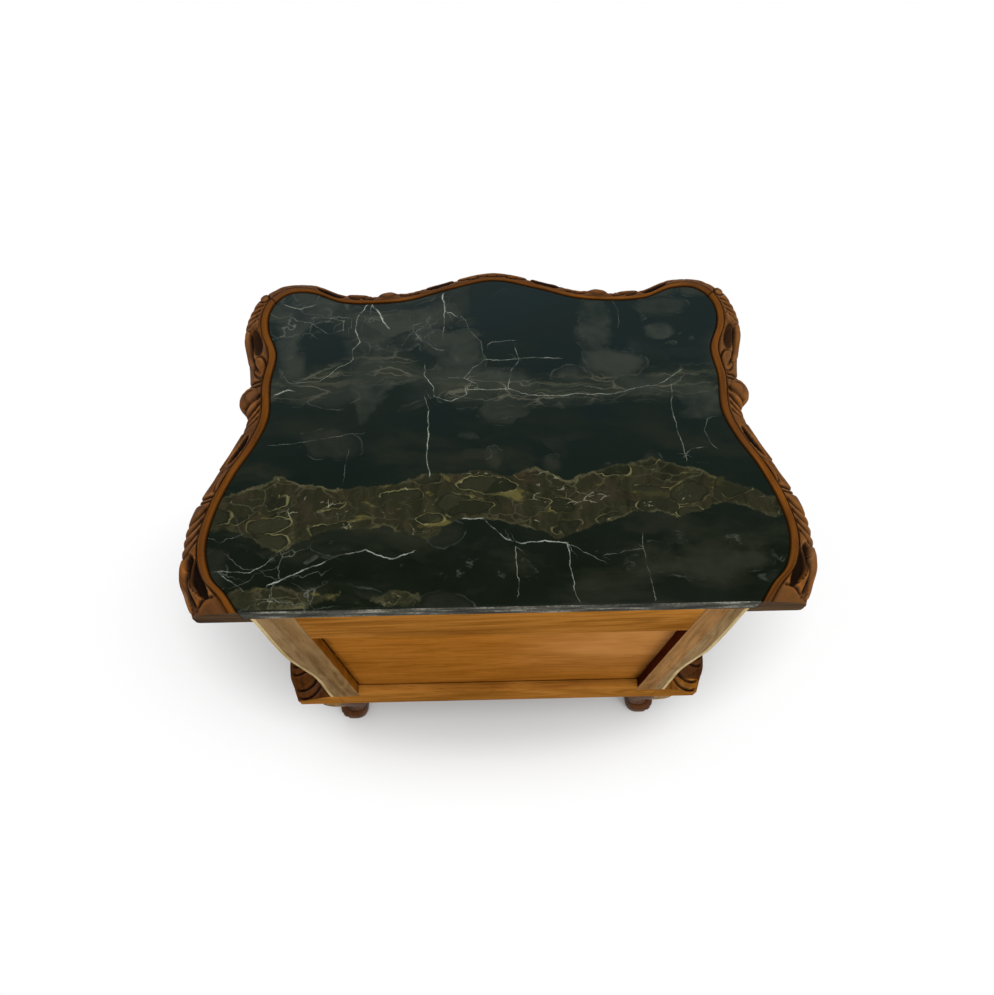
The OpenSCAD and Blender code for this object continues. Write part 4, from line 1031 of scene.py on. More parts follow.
def rim():
    """The three carved pieces of the rim, mitred at the front corners."""
    mitre, end = float(arc_of(MITRE)), ARC[-1]
    for name, start, stop in (("rim_left", -end, -mitre), ("rim_front", -mitre, mitre),
                              ("rim_right", mitre, end)):
        arc = np.linspace(start, stop, int((stop - start) / RIM_STEP) + 1)
        t = t_of(arc)
        n, z, weight = rim_profile(t)
        relief = carved_over(arc, n, z, carve_rim, 0.4, (0.7, 3), (0.4, 5), (627, 0.9))
        relief.height += 0.10 * wander(arc * 9, 8)[:, None] * wander(relief.c * 11, 9)
        cavity_shade, wear_and_highlight = cavity_shade_and_wear_highlight(relief.height * (weight > 0.1), 4)
        seam = sum(np.exp(-((arc - joint) / 0.8) ** 2) for joint in (start, stop) if abs(joint) < end - 1)
        column = np.arange(n.shape[1])
        # painted shade: dark lines on the lip's inner face beside the marble and where the lip meets the
        # carving
        lip_shade_lines = (np.exp(-((column - 10.5) / 1.6) ** 2) + (column < 3.5))[None]
        # painted shade in hollows and on the floors of dishes, with dark lines at the mitre joints
        cavity_shade = np.clip(cavity_shade + relief.shade * weight + 0.9 * seam[:, None] + 0.6 * lip_shade_lines, 0, 1)
        # painted highlight: a light line along the lip's outer edge
        lip_highlight = np.exp(-((column - 8.2) / 0.7) ** 2)[None]
        wear_and_highlight = np.clip(wear_and_highlight + 0.8 * lip_highlight * (0.6 + 0.4 * wander(arc, 12)[:, None]), 0, 1)
        points = raised(t, n, z, relief.height * weight, 6)
        points = np.clip(points, (-RIM_REACH, -BACK_Y, 0), (RIM_REACH, BACK_Y, RIM_TOP))
        skin, faces = loft(points)
        slots = np.zeros(len(faces), int)
        if name != "rim_front":
            slots[-2 if name == "rim_left" else -1] = 1
        obj = piece(name + "_carved", skin, faces, [RIM_WOOD, SAWN_WOOD], slots, angle=50,
                    attributes={"grain": grain_along(arc, n, z, 40 * (name == "rim_left")),
                                "cavity_shade": cavity_shade.ravel(), "wear_and_highlight": wear_and_highlight.ravel(), "field": weight.ravel()})
        place(obj, "carcass", "carved_walnut", name)


def inside(points, outline):
    """Which points lie within a closed outline."""
    found = np.zeros(len(points), bool)
    x, y = points.T
    for (xa, ya), (xb, yb) in zip(outline, np.roll(outline, -1, 0)):
        if ya != yb:
            found ^= ((ya > y) != (yb > y)) & (x < (xb - xa) * (y - ya) / (yb - ya) + xa)
    return found


def marble_slab():
    """The slab: the outline of the rim's inside, arrises worn round, the back edge as sawn. Its top
    is a fine net of facets that carries the fields of the marble's drawing."""
    arc = np.linspace(-ARC[-1], ARC[-1], 620)
    t = t_of(arc)
    w = station(t)[:, 3]
    levels = [(0.6, SEAT_Z), (0, 619), (0, 636.4), (0.25, 637.3), (0.8, 637.85), (1.6, MARBLE_TOP)]
    rings = []
    for inset, z in levels:
        ring = at(t, w + 0.5 + inset, z + 0 * t)
        ring[:, 1] = np.minimum(ring[:, 1], BACK_Y - inset)
        rings.append(ring)
    points, faces = loft(rings)
    faces.pop()
    outline = rings[-1][:, :2]
    x, y = np.meshgrid(np.arange(-280, 281, 2.2), np.arange(-180, 199, 2.2))
    inner = np.stack([x.ravel(), y.ravel()], -1)
    inner = inner[inside(inner, outline)]
    flat = [Vector(p) for p in np.vstack([outline, inner])]
    found = delaunay_2d_cdt(flat, [], [list(range(len(outline)))], 1, 1e-4, False)
    top = np.array([(p.x, p.y, MARBLE_TOP) for p in found[0]])
    kept = inside(middles(top, found[2])[:, :2], outline)
    faces += [tuple(i + len(points) for i in face) for face, on in zip(found[2], kept) if on]
    points = np.vstack([points, top])
    crack, bands = marble_fields(points[:, 0], points[:, 1])
    middle = middles(points, faces)
    back = (middle[:, 1] > BACK_Y - 0.9) & (middle[:, 2] < MARBLE_TOP - 0.4)
    obj = piece("marble_slab", points, faces, [MARBLE, SAWN_STONE], back.astype(int), angle=40,
                attributes={"crack": crack, "bands": bands})
    place(obj, "carcass", "marble", "marble_top")


# ---------------------------------------------------------------------------------------------
# Body
# ---------------------------------------------------------------------------------------------

def side_inner_x(y):
    """Inner face of the side panels, which never reach past the back frame."""
    i = np.arange(SIDE, BACK + 1)
    s = STATIONS[i]
    x = np.minimum(s[:, 0] - s[:, 4] - SIDE_T, BACK_INNER_X)
    return np.interp(y, s[:, 1], x)


LEVELS = np.r_[np.linspace(BASE_TOP, RIM_Z, 60), SEAT_Z]


def upright(name, sign, t, inner, materials, slots_of=None):
    """An upright of the body: its outer face at stations t at all levels, and behind it the points
    that inner gives for the outer ones."""
    rings = []
    for z in LEVELS:
        outer = body_at(t, z + 0 * t)
        rings.append(np.vstack([outer, inner(outer)]) * [sign, 1, 1])
    points, faces = loft(rings)
    slots = slots_of(middles(points, faces)) if slots_of else None
    return piece(name, points, faces, materials, slots)


def side_panels():
    """Curved veneered sides, raw at their back edge, which is palest along the outside."""
    def inner(outer):
        y = np.linspace(outer[-1, 1], outer[0, 1], 25)
        face = np.stack([side_inner_x(y), y, outer[0, 2] + 0 * y], -1)
        return np.vstack([outer[-1:] - [[EDGE_STRIP, 0, 0]], face])

    def slots_of(middle):
        across = np.abs(middle[:, 0])
        back = middle[:, 1] > BACK_Y - 0.01
        strip = across > np.abs(body_at(BACK, middle[:, 2])[:, 0]) - 0.8 * EDGE_STRIP
        within = across < side_inner_x(middle[:, 1]) + 1
        return np.where(back, np.where(strip, 3, 1), np.where(within, 2, 0))

    for sign, name in ((-1, "left"), (1, "right")):
        obj = upright("side_panel_" + name, sign, np.linspace(SIDE, BACK, 91), inner,
                      [SIDE_WOOD, RAW_SIDE, BOARD_WOOD, EDGE_WOOD], slots_of)
        place(obj, "carcass", "walnut", "side_" + name)


def front_posts():
    """Curved front posts with the strike plate and the hinges let in."""
    leaf_low, leaf_high = box_of("post_hinge_leaves")
    strike_low, strike_high = box_of("strike_plate")
    bolt_low, bolt_high = box_of("lock_bolt")
    side_x, side_y = STATIONS[SIDE, 0] - STATIONS[SIDE, 4] - 1.75 * SIDE_T, STATIONS[SIDE, 1]
    corners = np.array([[side_x, side_y, 0], [OPEN_X, front_y(OPEN_X, BASE_TOP) + FRAME_DEPTH, 0]])
    edge, mortise_x, tight, free = OPEN_X - 1, 173, 0.05, 0.8
    for sign, name in ((-1, "left"), (1, "right")):
        obj = upright("front_post_" + name, sign, np.linspace(OPENING, SIDE, 61),
                      lambda outer: corners + [0, 0, outer[0, 2]], [POST_WOOD])
        if sign > 0:
            cut_boxes(obj, ((edge, strike_low.y, strike_low.z - tight),
                            (strike_high.x + tight, strike_high.y, strike_high.z + tight)))
            cut_boxes(obj, ((edge, bolt_low.y - free, bolt_low.z - free),
                            (mortise_x, bolt_high.y + free, bolt_high.z + free)))
        else:
            cut_boxes(obj, *[((leaf_low.x - LEAF_PLAY, LEAF_Y, a - LEAF_PLAY),
                              (-edge, leaf_high.y + LEAF_PLAY, b + LEAF_PLAY)) for a, b in HINGE_LEAVES])
        place(obj, "carcass", "walnut", "post_front_" + name)


def front_slab(name, x, z0, z1, back, materials):
    """Curved front panel between two heights. back is its depth, or the y of a flat back."""
    xs = np.linspace(-x, x, 81)
    rings = []
    for z in np.linspace(z0, z1, max(6, int((z1 - z0) / 6))):
        face = np.stack([xs, front_y(xs, z), z + 0 * xs], -1)
        rear = face[::-1].copy()
        rear[:, 1] = back if back < 0 else rear[:, 1] + back
        rings.append(np.vstack([face, rear]))
    points, faces = loft(rings)
    slots = None
    if len(materials) > 1:
        middle = middles(points, faces)
        slots = middle[:, 1] > front_y(middle[:, 0], middle[:, 2]) + 0.5
    return piece(name, points, faces, materials, slots)


# Section of a bead: shares of its half width and of its height
BEAD = np.array([
    (-1, -0.3), (-1, 0.25), (-0.86, 0.5), (-0.72, 0.42), (-0.62, 0.42), (-0.5, 0.72), (-0.25, 0.95), (0, 1),
    (0.25, 0.95), (0.5, 0.72), (0.62, 0.42), (0.72, 0.42), (0.86, 0.5), (1, 0.25), (1, -0.3)])


def bead_loop(name, x, z0, z1, body, node, inset=14, half=4, height=3, corner=5.0):
    """Half-round bead that frames a curved front."""
    xa, za, zb = x - inset - half - corner, z0 + inset + half + corner, z1 - inset - half - corner
    path = []
    for cx, cz, start in ((xa, za, -90), (xa, zb, 0), (-xa, zb, 90), (-xa, za, 180)):
        for a in np.radians(np.linspace(start, start + 90, 7)):
            path.append((cx + corner * math.cos(a), cz + corner * math.sin(a)))
    path = np.array(path)
    loop = []
    for a, b in zip(path, np.roll(path, -1, 0)):
        steps = max(1, int(np.hypot(*(b - a)) / 5))
        loop += [a + (b - a) * k / steps for k in range(steps)]
    loop = np.array(loop)
    ahead = np.roll(loop, -1, 0) - np.roll(loop, 1, 0)
    out = np.stack([ahead[:, 1], -ahead[:, 0]], -1) / np.hypot(*ahead.T)[:, None]
    across, rise = BEAD.T * [[half], [height]]
    px, pz = (loop[:, k, None] + out[:, k, None] * across for k in (0, 1))
    points, faces = loft(np.stack([px, front_y(px, pz) - rise, pz], -1), closed=True)
    place(piece(name, points, faces, [BEAD_WOOD], angle=40), body, "walnut", node)


def fronts():
    """Front rails, drawer front and door with their beads."""
    flat = float(front_y(OPEN_X, BASE_TOP)) + FRAME_DEPTH
    for node in ("rail_top_front", "rail_mid_front", "rail_bottom_front"):
        low, high = box_of(node)
        obj = front_slab(node + "_curved", OPEN_X, low.z, high.z, flat, [FRAME_WOOD])
        place(obj, "carcass", "walnut", node)
    play = Vector((0.1, 0.1, 0.1))
    low, high = box_of("drawer_front")
    obj = front_slab("drawer_face", high.x, low.z, high.z, high.y, [BURL_WOOD, DRAWER_WOOD])
    slab_low, slab_high = box_of("drawer_bottom")
    cut_boxes(obj, (slab_low - play, (slab_high.x + play.x, slab_high.y, slab_high.z + play.z)))
    place(obj, "drawer", "walnut", "drawer_front")
    bead_loop("drawer_face_bead", high.x, low.z, high.z, "drawer", "drawer_bead")
    low, high = box_of("door")
    obj = front_slab("door_leaf", high.x, low.z, high.z, 20, [BURL_WOOD, FRAME_WOOD])
    case_low, case_high = box_of("lock_case")
    leaf_high = box_of("door_hinge_leaves")[1]
    keyhole = ((LOCK_X - 3, -160, LOCK_Z - 8.5), (LOCK_X + 3, case_low.y + 1, LOCK_Z + 3))
    leaves = [((1 - OPEN_X, LEAF_Y, a - LEAF_PLAY), (LEAF_BACK_X, leaf_high.y + LEAF_PLAY, b + LEAF_PLAY))
              for a, b in HINGE_LEAVES]
    case = (case_low - play, (high.x + 1, case_high.y + play.y, case_high.z + play.z))
    cut_boxes(obj, case, keyhole, *leaves)
    place(obj, "door", "walnut", "door")
    bead_loop("door_leaf_bead", high.x, low.z, high.z, "door", "door_bead")


# ---------------------------------------------------------------------------------------------
# Base and legs
# ---------------------------------------------------------------------------------------------

def carve_base(r):
    """Leaves on the base moulding by arc length and distance inward."""
    for i in range(6):
        r.cut([(2 + 4 * i, 30), (3 + 7 * i, 16), (4 + 9 * i, 3), (5 + 10 * i, -14)], 1.3, 2.2)
    for i, lean in enumerate((0, 5, -3, 4, -2)):
        s = 208 + 23 * i + lean
        r.cut([(s, 42), (s + 12, 26), (s + 16, 8), (s + 10, -16)], 2.0, 2.4)
        r.cut([(s + 12, 30), (s + 17, 12), (s + 15, -4)], 1.0, 1.2)
    for i, lean in enumerate((0, 4, -3, 3, -2)):
        s = 556 + 18 * i + lean
        r.cut([(s, 46), (s + 14, 28), (s + 20, 12), (s + 16, 2)], 1.3, 1.3)
        r.cut([(s + 10, 36), (s + 18, 20), (s + 20, 6)], 0.7, 0.7)
    r.dome(250, 14, 24, 15, 1.6, 20)
    r.dome(600, 20, 26, 16, 1.6, 20)
    r.cut([(60, 5), (130, 5), (200, 5)], 1.0, 1.5)
    r.cut([(325, 5), (440, 5), (555, 5)], 1.0, 1.5)
    r.cut([(60, -16), (130, -17), (200, -16)], 1.0, 1.2)
    r.cut([(325, -16), (440, -17), (555, -16)], 1.0, 1.2)


# Hollow top of the base moulding: share of the overhang, share of the rise above its edge
BASE_HOLLOW = [(0.94, 1), (0.75, 0.8), (0.5, 0.42), (0.22, 0.14), (0.03, 0)]
BASE_STEPS = 50


def base_profile(t):
    """Sections of the base moulding at stations t and the carved share of each point."""
    over = station(t)[:, 4]
    face = [(over * share, BASE_EDGE + (BASE_TOP - BASE_EDGE) * up) for share, up in BASE_HOLLOW]
    face += [(0, BASE_EDGE - 3), (0, LEG_H + 12), (0, LEG_H + 3)]
    n, z = (resampled(columns, BASE_STEPS) for columns in sections(over.shape, face))
    rest = sections(over.shape, [(0.6, LEG_H + 1.2), (1.8, LEG_H + 0.2), (3.5, LEG_H),
                                 (over + BASE_IN, LEG_H), (over + BASE_IN, BASE_TOP), (over + 2, BASE_TOP)])
    k = np.arange(BASE_STEPS)
    carved = np.clip((k - 2) / 4, 0, 1) * np.clip((BASE_STEPS - 1 - k) / 4, 0, 1)
    weight = np.r_[carved, np.zeros(rest[0].shape[1])]
    return np.hstack([np.maximum(n, 0), rest[0]]), np.hstack([z, rest[1]]), weight


def base_mouldings():
    """The carved pieces of the base and the plain rail at the back."""
    mitre, end, last = float(arc_of(MITRE)), float(arc_of(BASE_END)), ARC[-1]
    for name, start, stop in (("base_left", -end, -mitre), ("base_front", -mitre, mitre),
                              ("base_right", mitre, end), ("base_back_left", -last, -end),
                              ("base_back_right", end, last)):
        arc = np.linspace(start, stop, max(4, int((stop - start) / 1.5)))
        t = t_of(arc)
        n, z, weight = base_profile(t)
        relief = carved_over(arc, n, z, carve_base, 0.8, (0.9, 13), (0.5, 15), (BASE_EDGE, 1))
        height = relief.height * weight[None]
        # painted shade in hollows, and wear with a painted highlight on high places
        cavity_shade, wear_and_highlight = cavity_shade_and_wear_highlight(height, 3)
        skin, faces = loft(raised(t, n, z, height, 10))
        slots = np.zeros(len(faces), int)
        if name.startswith("base_back"):
            slots[-2 if name.endswith("left") else -1] = 1
        # the back end on -X takes the lit copy of the base wood, painted light
        wood_used = BASE_LIT if name == "base_back_left" else BASE_WOOD
        obj = piece(name + "_carved", skin, faces, [wood_used, RAIL_WOOD], slots, angle=50,
                    attributes={"grain": grain_along(arc, n, z, 20), "cavity_shade": cavity_shade.ravel(),
                                "wear_and_highlight": wear_and_highlight.ravel()})
        place(obj, "carcass", "carved_walnut", *([] if name.startswith("base_back") else [name]))
    inner = at([BASE_END], station([BASE_END])[:, 4] + BASE_IN, 0.0)[0, 0]
    rail_depth, edges = 18, 40
    rail = box_mesh((-inner, BACK_Y - rail_depth, LEG_H), (inner, BACK_Y, BASE_TOP))
    obj = piece("base_back_rail", *rail, [RAIL_WOOD])
    work = bmesh.new()
    work.from_mesh(obj.data)
    bevel(work, 1.0, edges)
    work.to_mesh(obj.data)
    work.free()
    shade(obj.data, edges)
    place(obj, "carcass", "back_wood", "base_back")


# Share of the height, offset outward, half width
LEG = np.array([
    [0.00, -7, 15.4], [0.03, -6, 19.8], [0.08, -5, 22.0], [0.15, -6, 21.3], [0.21, -10, 17.2],
    [0.27, -14, 13.6], [0.36, -17, 12.3], [0.48, -16, 14.4], [0.60, -11, 17.3], [0.72, -3, 21.4],
    [0.84, 3, 24.5], [0.93, 3, 25.0], [1.00, 0, 24.0],
])
SQUARENESS = 2.6                         # 2 would make the legs round, and more makes them squarer
FRONT_LEG_IN, BACK_LEG_X = 42.0, 238.0   # places of the legs: inward from the mitre, and along X


def carve_leg(r):
    """Acanthus on the knee and a scroll on the foot; s is the angle from outward in degrees and
    c the height in millimetres."""
    for side in (-1, 1):
        for i in range(5):
            r.cut([(side * 2, 150 - 14 * i), (side * 18, 158 - 15 * i), (side * 34, 160 - 14 * i)], 2.2, 1.5)
        r.cut([(side * 36, 162), (side * 44, 130), (side * 30, 100), (side * 4, 72)], 2.4, 1.6)
        r.cut([(side * 50, 30), (side * 70, 22), (side * 55, 12), (side * 36, 18), (side * 44, 25)], 2.2, 1.2)
    r.cut([(0, 160), (0, 120), (0, 80)], 2.0, 1.4)
    r.cut([(-170, 38), (-90, 38), (0, 36), (90, 38), (170, 38)], 1.8, 1.6)


def legs():
    """Cabriole legs with carved knees."""
    share, offset, radius = resampled(LEG.T, 90)[..., None]
    angle = np.linspace(-180, 180, 73)[:-1]
    a = np.radians(angle)[None]
    square = (np.abs(np.cos(a)) ** SQUARENESS + np.abs(np.sin(a)) ** SQUARENESS) ** (1 / SQUARENESS)
    height = LEG_H * np.clip(share, 0, 1) + 0 * a
    relief = Relief(angle[None] + 0 * height, height)
    carve_leg(relief)
    carved = relief.height * np.clip(height / 6, 0, 1) * np.clip((LEG_H - height) / 4, 0, 1)
    # painted shade in hollows, and wear with a painted highlight on high places
    cavity_shade, wear_and_highlight = cavity_shade_and_wear_highlight(carved, 2)
    k = radius / square + carved
    local_x, local_y = k * np.cos(a) + offset, k * np.sin(a)
    front = at([MITRE], FRONT_LEG_IN, 0.0)[0]
    back = np.array([BACK_LEG_X, BACK_Y - 1.04 * LEG[-1, 2], 0])
    for node, origin, turn, flip in (("leg_front_right", front, -45, 1), ("leg_front_left", front, -45, -1),
                                     ("leg_back_right", back, 0, 1), ("leg_back_left", back, 0, -1)):
        w = math.radians(turn)
        x = local_x * math.cos(w) - local_y * math.sin(w) + origin[0]
        y = local_x * math.sin(w) + local_y * math.cos(w) + origin[1]
        skin, faces = loft(np.stack([flip * x, np.minimum(y, BACK_Y), height], -1))
        x, y, z = middles(skin, faces).T
        raw = (y > BACK_Y - 6) & (z > LEG_H - 42) & (np.abs(x) > origin[0] - 8)
        obj = piece(node + "_carved", skin, faces, [LEG_WOOD, RAW_SIDE], raw, angle=50,
                    attributes={"cavity_shade": cavity_shade.ravel(), "wear_and_highlight": wear_and_highlight.ravel()})
        place(obj, "carcass", "carved_walnut", node)


# ---------------------------------------------------------------------------------------------
# Brass
# ---------------------------------------------------------------------------------------------

def turned(profile, petals=0, depth=0.0, sides=48):
    """Rings of a turned shape about Y from (y, radius) pairs, scalloped where it is widest."""
    a = ring_angles(sides)
    widest = max(r for _, r in profile)
    rings = []
    for y, r in profile:
        scalloped = r * (1 + depth * (r / widest) * np.cos(petals * a))
        rings.append(np.stack([scalloped * np.cos(a), y + 0 * a, scalloped * np.sin(a)], -1))
    return np.array(rings)


# Turned shapes, as length along the axis and radius: a pull post from the bail's axis and from the
# drawer's face, the bail's eye, and a key's shank from its bow
POST_TIP = [(-4.2, 0.6), (-3.6, 2.4), (-2, 3.8), (0, 4.4), (2.4, 4.2), (3.6, 3.2)]
ROSETTE = [(-6.5, 3.0), (-5.0, 3.8), (-4.2, 6.4), (-3.6, 6.8), (-3.0, 5.2), (-2.6, 8.2), (-2.0, 10.4),
           (-1.0, 11.0), (0.6, 11.0)]
EYE = [(-2.9, 1.8), (-2.6, 3.2), (-1.4, 3.7), (1.4, 3.7), (2.6, 3.2), (2.9, 1.9), (6.8, 1.9), (9.5, 1.9)]
COLLARS = [(-1.0, 1.2), (0, 2.4), (2, 2.4), (2.5, 1.9), (3.2, 1.9), (3.8, 2.4), (5.6, 2.4), (6.2, 1.9)]
BAIL_HALF, BAIL_DROP, BAIL_ARC = 39.4, 28.0, 41.72


def drawer_pull():
    """Rosettes, posts and the hanging bail."""
    face = float(front_y(PULL_X, PULL_Z))
    rings = turned([(PULL_Y + y, r) for y, r in POST_TIP] + [(face + y, r) for y, r in ROSETTE], 8, 0.05)
    skins = [loft(rings + np.array([side * PULL_X, 0, PULL_Z])) for side in (-1, 1)]
    place(piece("pull_rosettes", *joined(*skins), [BRASS], angle=45), "drawer", "brass", "pull_posts")

    reach = math.asin(BAIL_HALF / BAIL_ARC)
    a = np.linspace(-reach, reach, 61)
    out = np.stack([np.sin(a), 0 * a, -np.cos(a)], -1)[:, None]
    centre = np.array([0, PULL_Y, PULL_Z - BAIL_DROP + BAIL_ARC])
    thick = 2.4 * (0.82 + 0.25 * np.exp(-(a / 0.22) ** 2) + 0.12 * np.exp(-((np.abs(a) - 0.55) / 0.10) ** 2))
    thick = np.minimum(thick, 2.6)[:, None, None]
    ring = ring_angles(16)[None, :, None]
    tube = centre + BAIL_ARC * out + thick * (np.cos(ring) * out + np.sin(ring) * np.array([0, 1.0, 0]))
    skins = [loft(tube)]
    for side in (-1, 1):
        eye = turned(EYE)[..., [1, 0, 2]] * np.array([-side, 1, 1])
        skins.append(loft(eye + np.array([side * BAIL_HALF, PULL_Y, PULL_Z])))
    place(piece("drawer_pull_bail", *joined(*skins), [BRASS], angle=45), "bail", "brass", "drawer_bail")


def keyhole_plate():
    """Shaped escutcheon with a raised border round the keyhole."""
    low, high = box_of("escutcheon")
    half_w, half_h = (high.x - low.x) / 2 - 0.2, (high.z - low.z) / 2 - 0.2
    a = ring_angles(120)
    across, up = np.cos(a), np.sin(a)
    wave = 1 - 0.10 * np.cos(4 * a) - 0.05 * np.cos(8 * a) - 0.048 * np.cos(2 * a) * (up < 0)
    outer_x = np.clip(half_w * across * wave, -half_w, half_w)
    outer_z = half_h * up * (1 - 0.04 * np.cos(6 * a))
    hole_r, slot_half, slot_end = 2.9, 2.2, -8.9
    hole_x = np.where(up > -0.55, hole_r * across, np.clip(hole_r * across, -slot_half, slot_half))
    hole_z = np.where((up > -0.55) | (np.abs(across) >= 0.7), hole_r * up, slot_end)
    rings = []
    for share, rise in ((0, -1.2), (0, 1.0), (0.06, 1.9), (0.16, 1.9), (0.24, 1.1), (0.55, 1.5), (0.80, 1.7),
                        (0.88, 1.0), (0.93, 1.6), (1.0, 1.2), (1.0, -0.8)):
        px, pz = LOCK_X + hole_x + (outer_x - hole_x) * share, LOCK_Z + hole_z + (outer_z - hole_z) * share
        rings.append(np.stack([px, front_y(px, pz) - rise, pz], -1))
    place(piece("keyhole_plate", *loft(rings, closed=True), [BRASS], angle=45), "door", "brass", "escutcheon")


def key():
    """Key with a collared shank, a pierced bow and a bit."""
    low, high = box_of("door_key")
    x, z = LOCK_X, LOCK_Z
    bow_r, thick = 11.0, 1.75
    bow_y = low.y + 1.8 + bow_r
    shank = [(bow_y + bow_r + y, r) for y, r in COLLARS] + [(high.y - 0.6, 1.9), (high.y, 1.4)]
    skins = [loft(turned(shank, sides=32) + np.array([x, 0, z]))]
    a, b = ring_angles(64)[:, None], ring_angles(14)
    away = bow_r + thick * np.cos(b)
    bow = np.stack([x + thick * np.sin(b) + 0 * a, bow_y + away * np.cos(a), z + away * np.sin(a)], -1)
    skins.append(loft(bow, closed=True))
    for y0, y1, drop in ((-114.9, -112.9, 7.9), (-112.9, -111.4, 5.5), (-111.4, high.y - 1.1, 7.9)):
        skins.append(box_mesh((x - 1.5, y0, z - drop), (x + 1.5, y1, z - 1)))
    place(piece("key_with_bow", *joined(*skins), [STEEL], angle=40), "key", "lock_steel", "door_key")


# ---------------------------------------------------------------------------------------------
# Plain pieces: the imported solids with soft edges and their own finish
# ---------------------------------------------------------------------------------------------

# Nodes, material, body, slot, width of the rounded edges and, for the stiles, what their inner faces are of:
# a lit copy of the reveal wood and a painted-shade copy
PLAIN = [
    ("back_rail_top back_rail_bottom", RAIL_WOOD, "carcass", "back_wood", 0.7),
    ("back_panel", PANEL_WOOD, "carcass", "back_wood", 0.4),
    ("post_back_left", STILE_PINK, "carcass", "back_wood", 0.7, SHADED_REVEAL),
    ("post_back_right", STILE_WOOD, "carcass", "back_wood", 0.7, LIT_REVEAL),
    ("top_board dust_board cupboard_floor", BOARD_WOOD, "carcass", "inner_wood", 0.6),
    ("drawer_guides drawer_stops corner_blocks", BOARD_WOOD, "carcass", "inner_wood", 0.6),
    ("drawer_side_left drawer_side_right", DRAWER_WOOD, "drawer", "inner_wood", 0.8),
    ("drawer_back", BOARD_WOOD, "drawer", "inner_wood", 0.8),
    ("drawer_bottom", BOARD_WOOD, "drawer", "inner_wood", 0.3),
    ("pull_nuts", BRASS, "drawer", "brass", 0.3),
    ("post_hinge_leaves", BRASS, "carcass", "brass", 0),
    ("door_hinge_leaves", BRASS, "door", "brass", 0),
    ("hinge_pins", BRASS, "carcass", "brass", 0.3),
    ("strike_plate", BRASS, "carcass", "brass", 0.2),
    ("lock_case", STEEL, "door", "lock_steel", 0.2),
    ("lock_bolt", STEEL, "bolt", "lock_steel", 0.3),
]


# ---------------------------------------------------------------------------------------------
# Camera, floor and light
# ---------------------------------------------------------------------------------------------

CAMERA_AT = (0.0120, 0.4007, 1.3215)
CAMERA_PITCH, CAMERA_YAW, CAMERA_ROLL = 1.14322, -0.0347456, 0.0121925
FOCAL_PIXELS, PICTURE_WIDTH = 779.283, 994
SENSOR = 36.0


def camera():
    """The photograph's viewpoint: behind the cupboard and well above it."""
    pitch, yaw, roll = CAMERA_PITCH, CAMERA_YAW, CAMERA_ROLL
    ahead = Vector((math.sin(yaw) * math.cos(pitch), -math.cos(yaw) * math.cos(pitch), -math.sin(pitch)))
    level = ahead.cross(Vector((0, 0, 1))).normalized()
    steep = level.cross(ahead)
    right = math.cos(roll) * level + math.sin(roll) * steep
    up = -math.sin(roll) * level + math.cos(roll) * steep
    data = bpy.data.cameras.new("camera")
    data.sensor_width, data.sensor_fit = SENSOR, "HORIZONTAL"
    data.lens = FOCAL_PIXELS / PICTURE_WIDTH * SENSOR
    data.clip_start, data.clip_end = 0.01, 50
    obj = linked("camera", data)
    turn = Matrix((right, up, -ahead)).transposed()
    obj.matrix_world = Matrix.Translation(CAMERA_AT) @ turn.to_4x4()
    bpy.context.scene.camera = obj


FLOOR_SIZE = 12.0
# the floor is darkened within this ellipse, a painted shadow
SHADOW_REACH = (1 / 0.56, 1 / 0.27, 1)   # half axes of the ellipse within which the floor is shaded
FLOOR_NEAR, FLOOR_FAR = 0.80, 1.30       # shares of it between which the floor turns white
WORLD_LEVEL = 0.50


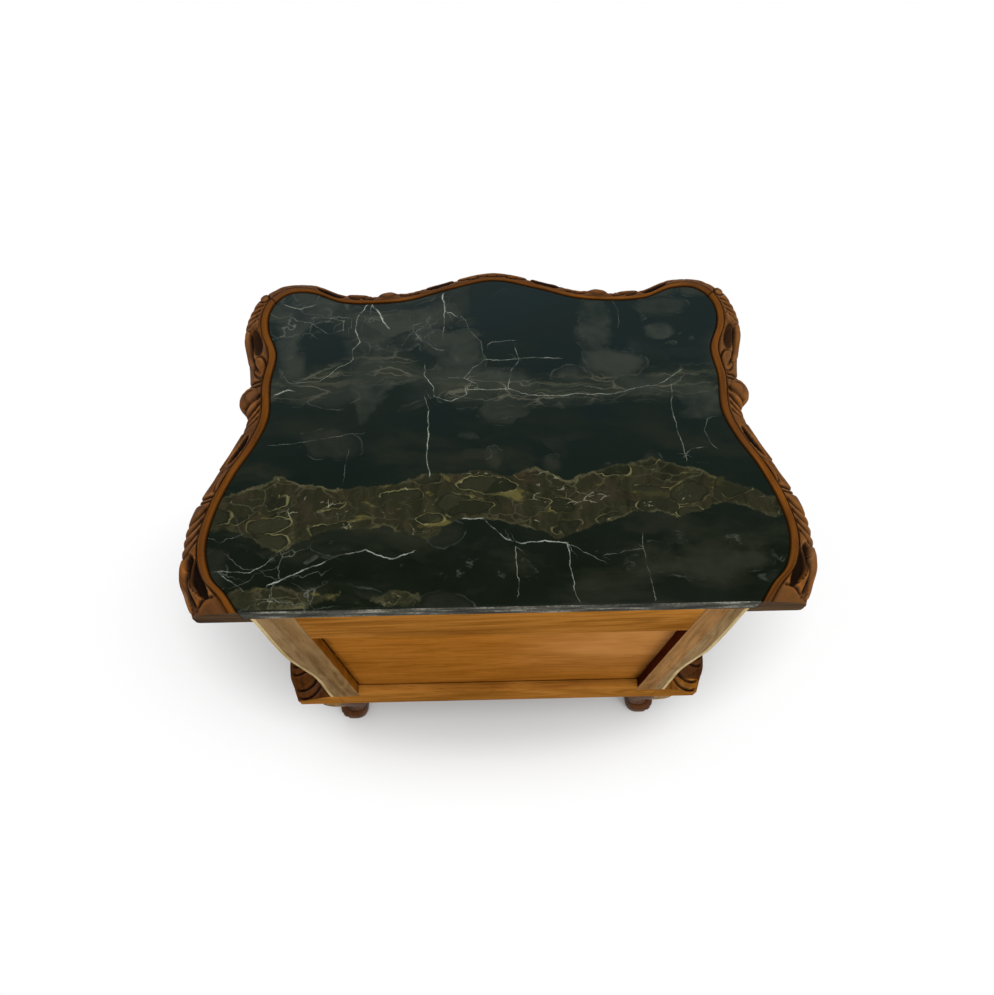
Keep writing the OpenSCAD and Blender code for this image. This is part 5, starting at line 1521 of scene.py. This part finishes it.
def floor():
    """White floor: lit, so that it keeps the shadow, darker near the cupboard as a painted shadow, and white
    where a camera or a mirror sees it far from the cupboard."""
    mesh = bpy.data.meshes.new("floor")
    corners = [(x * FLOOR_SIZE, y * FLOOR_SIZE, 0) for x, y in ((-1, -1), (1, -1), (1, 1), (-1, 1))]
    mesh.from_pydata(corners, [], [(0, 1, 2, 3)])
    net = new_net("floor")
    seen = net.seen()
    away = net.where().stretched(SHADOW_REACH).length()
    far = away.fit(FLOOR_NEAR, FLOOR_FAR, soft=True)
    # painted shadow: the floor's colour darker near the cupboard
    tone = away.fit(0.55, 1.0).between((0.50, 0.50, 0.50), (0.80, 0.80, 0.80))
    lit = net.add("ShaderNodeBsdfDiffuse", {"Color": tone.toward((0, 0, 0), far * seen)})
    white = net.add("ShaderNodeEmission", {"Strength": seen * far})
    net.add("ShaderNodeOutputMaterial", {0: net.add("ShaderNodeAddShader", {0: lit, 1: white})})
    mesh.materials.append(net.owner)
    linked("floor", mesh)


def world():
    """Even pale surroundings, white where they are seen."""
    net = Net(bpy.data.worlds.new("world"))
    bpy.context.scene.world = net.owner
    sky = {"Color": (1, 1, 1), "Strength": net.seen().fit(0, 1, WORLD_LEVEL, 1.0)}
    net.add("ShaderNodeOutputWorld", {0: net.add("ShaderNodeBackground", sky)})


def lamp(name, at_point, toward, size, watts):
    """A soft square lamp."""
    data = bpy.data.lights.new(name, "AREA")
    data.shape, data.size, data.energy = "SQUARE", size, watts
    obj = linked(name, data)
    obj.location = at_point
    obj.rotation_mode = "QUATERNION"
    obj.rotation_quaternion = (Vector(toward) - Vector(at_point)).to_track_quat("-Z", "Y")


def lights():
    middle = (0, 0, 0.35)
    lamp("overhead", (-0.2, 0.6, 2.4), middle, 1.8, 44)
    lamp("behind", (-2.0, 1.9, 1.1), middle, 1.0, 17)
    lamp("front_fill", (0.4, -2.1, 2.0), middle, 1.6, 18)


# ---------------------------------------------------------------------------------------------
# The scene
# ---------------------------------------------------------------------------------------------

bpy.context.scene.view_settings.view_transform = "Standard"
camera()
floor()
world()
lights()
rim()
marble_slab()
side_panels()
front_posts()
fronts()
base_mouldings()
legs()
drawer_pull()
keyhole_plate()
key()
for nodes, *finish in PLAIN:
    for node in nodes.split():
        refined(node, *finish)
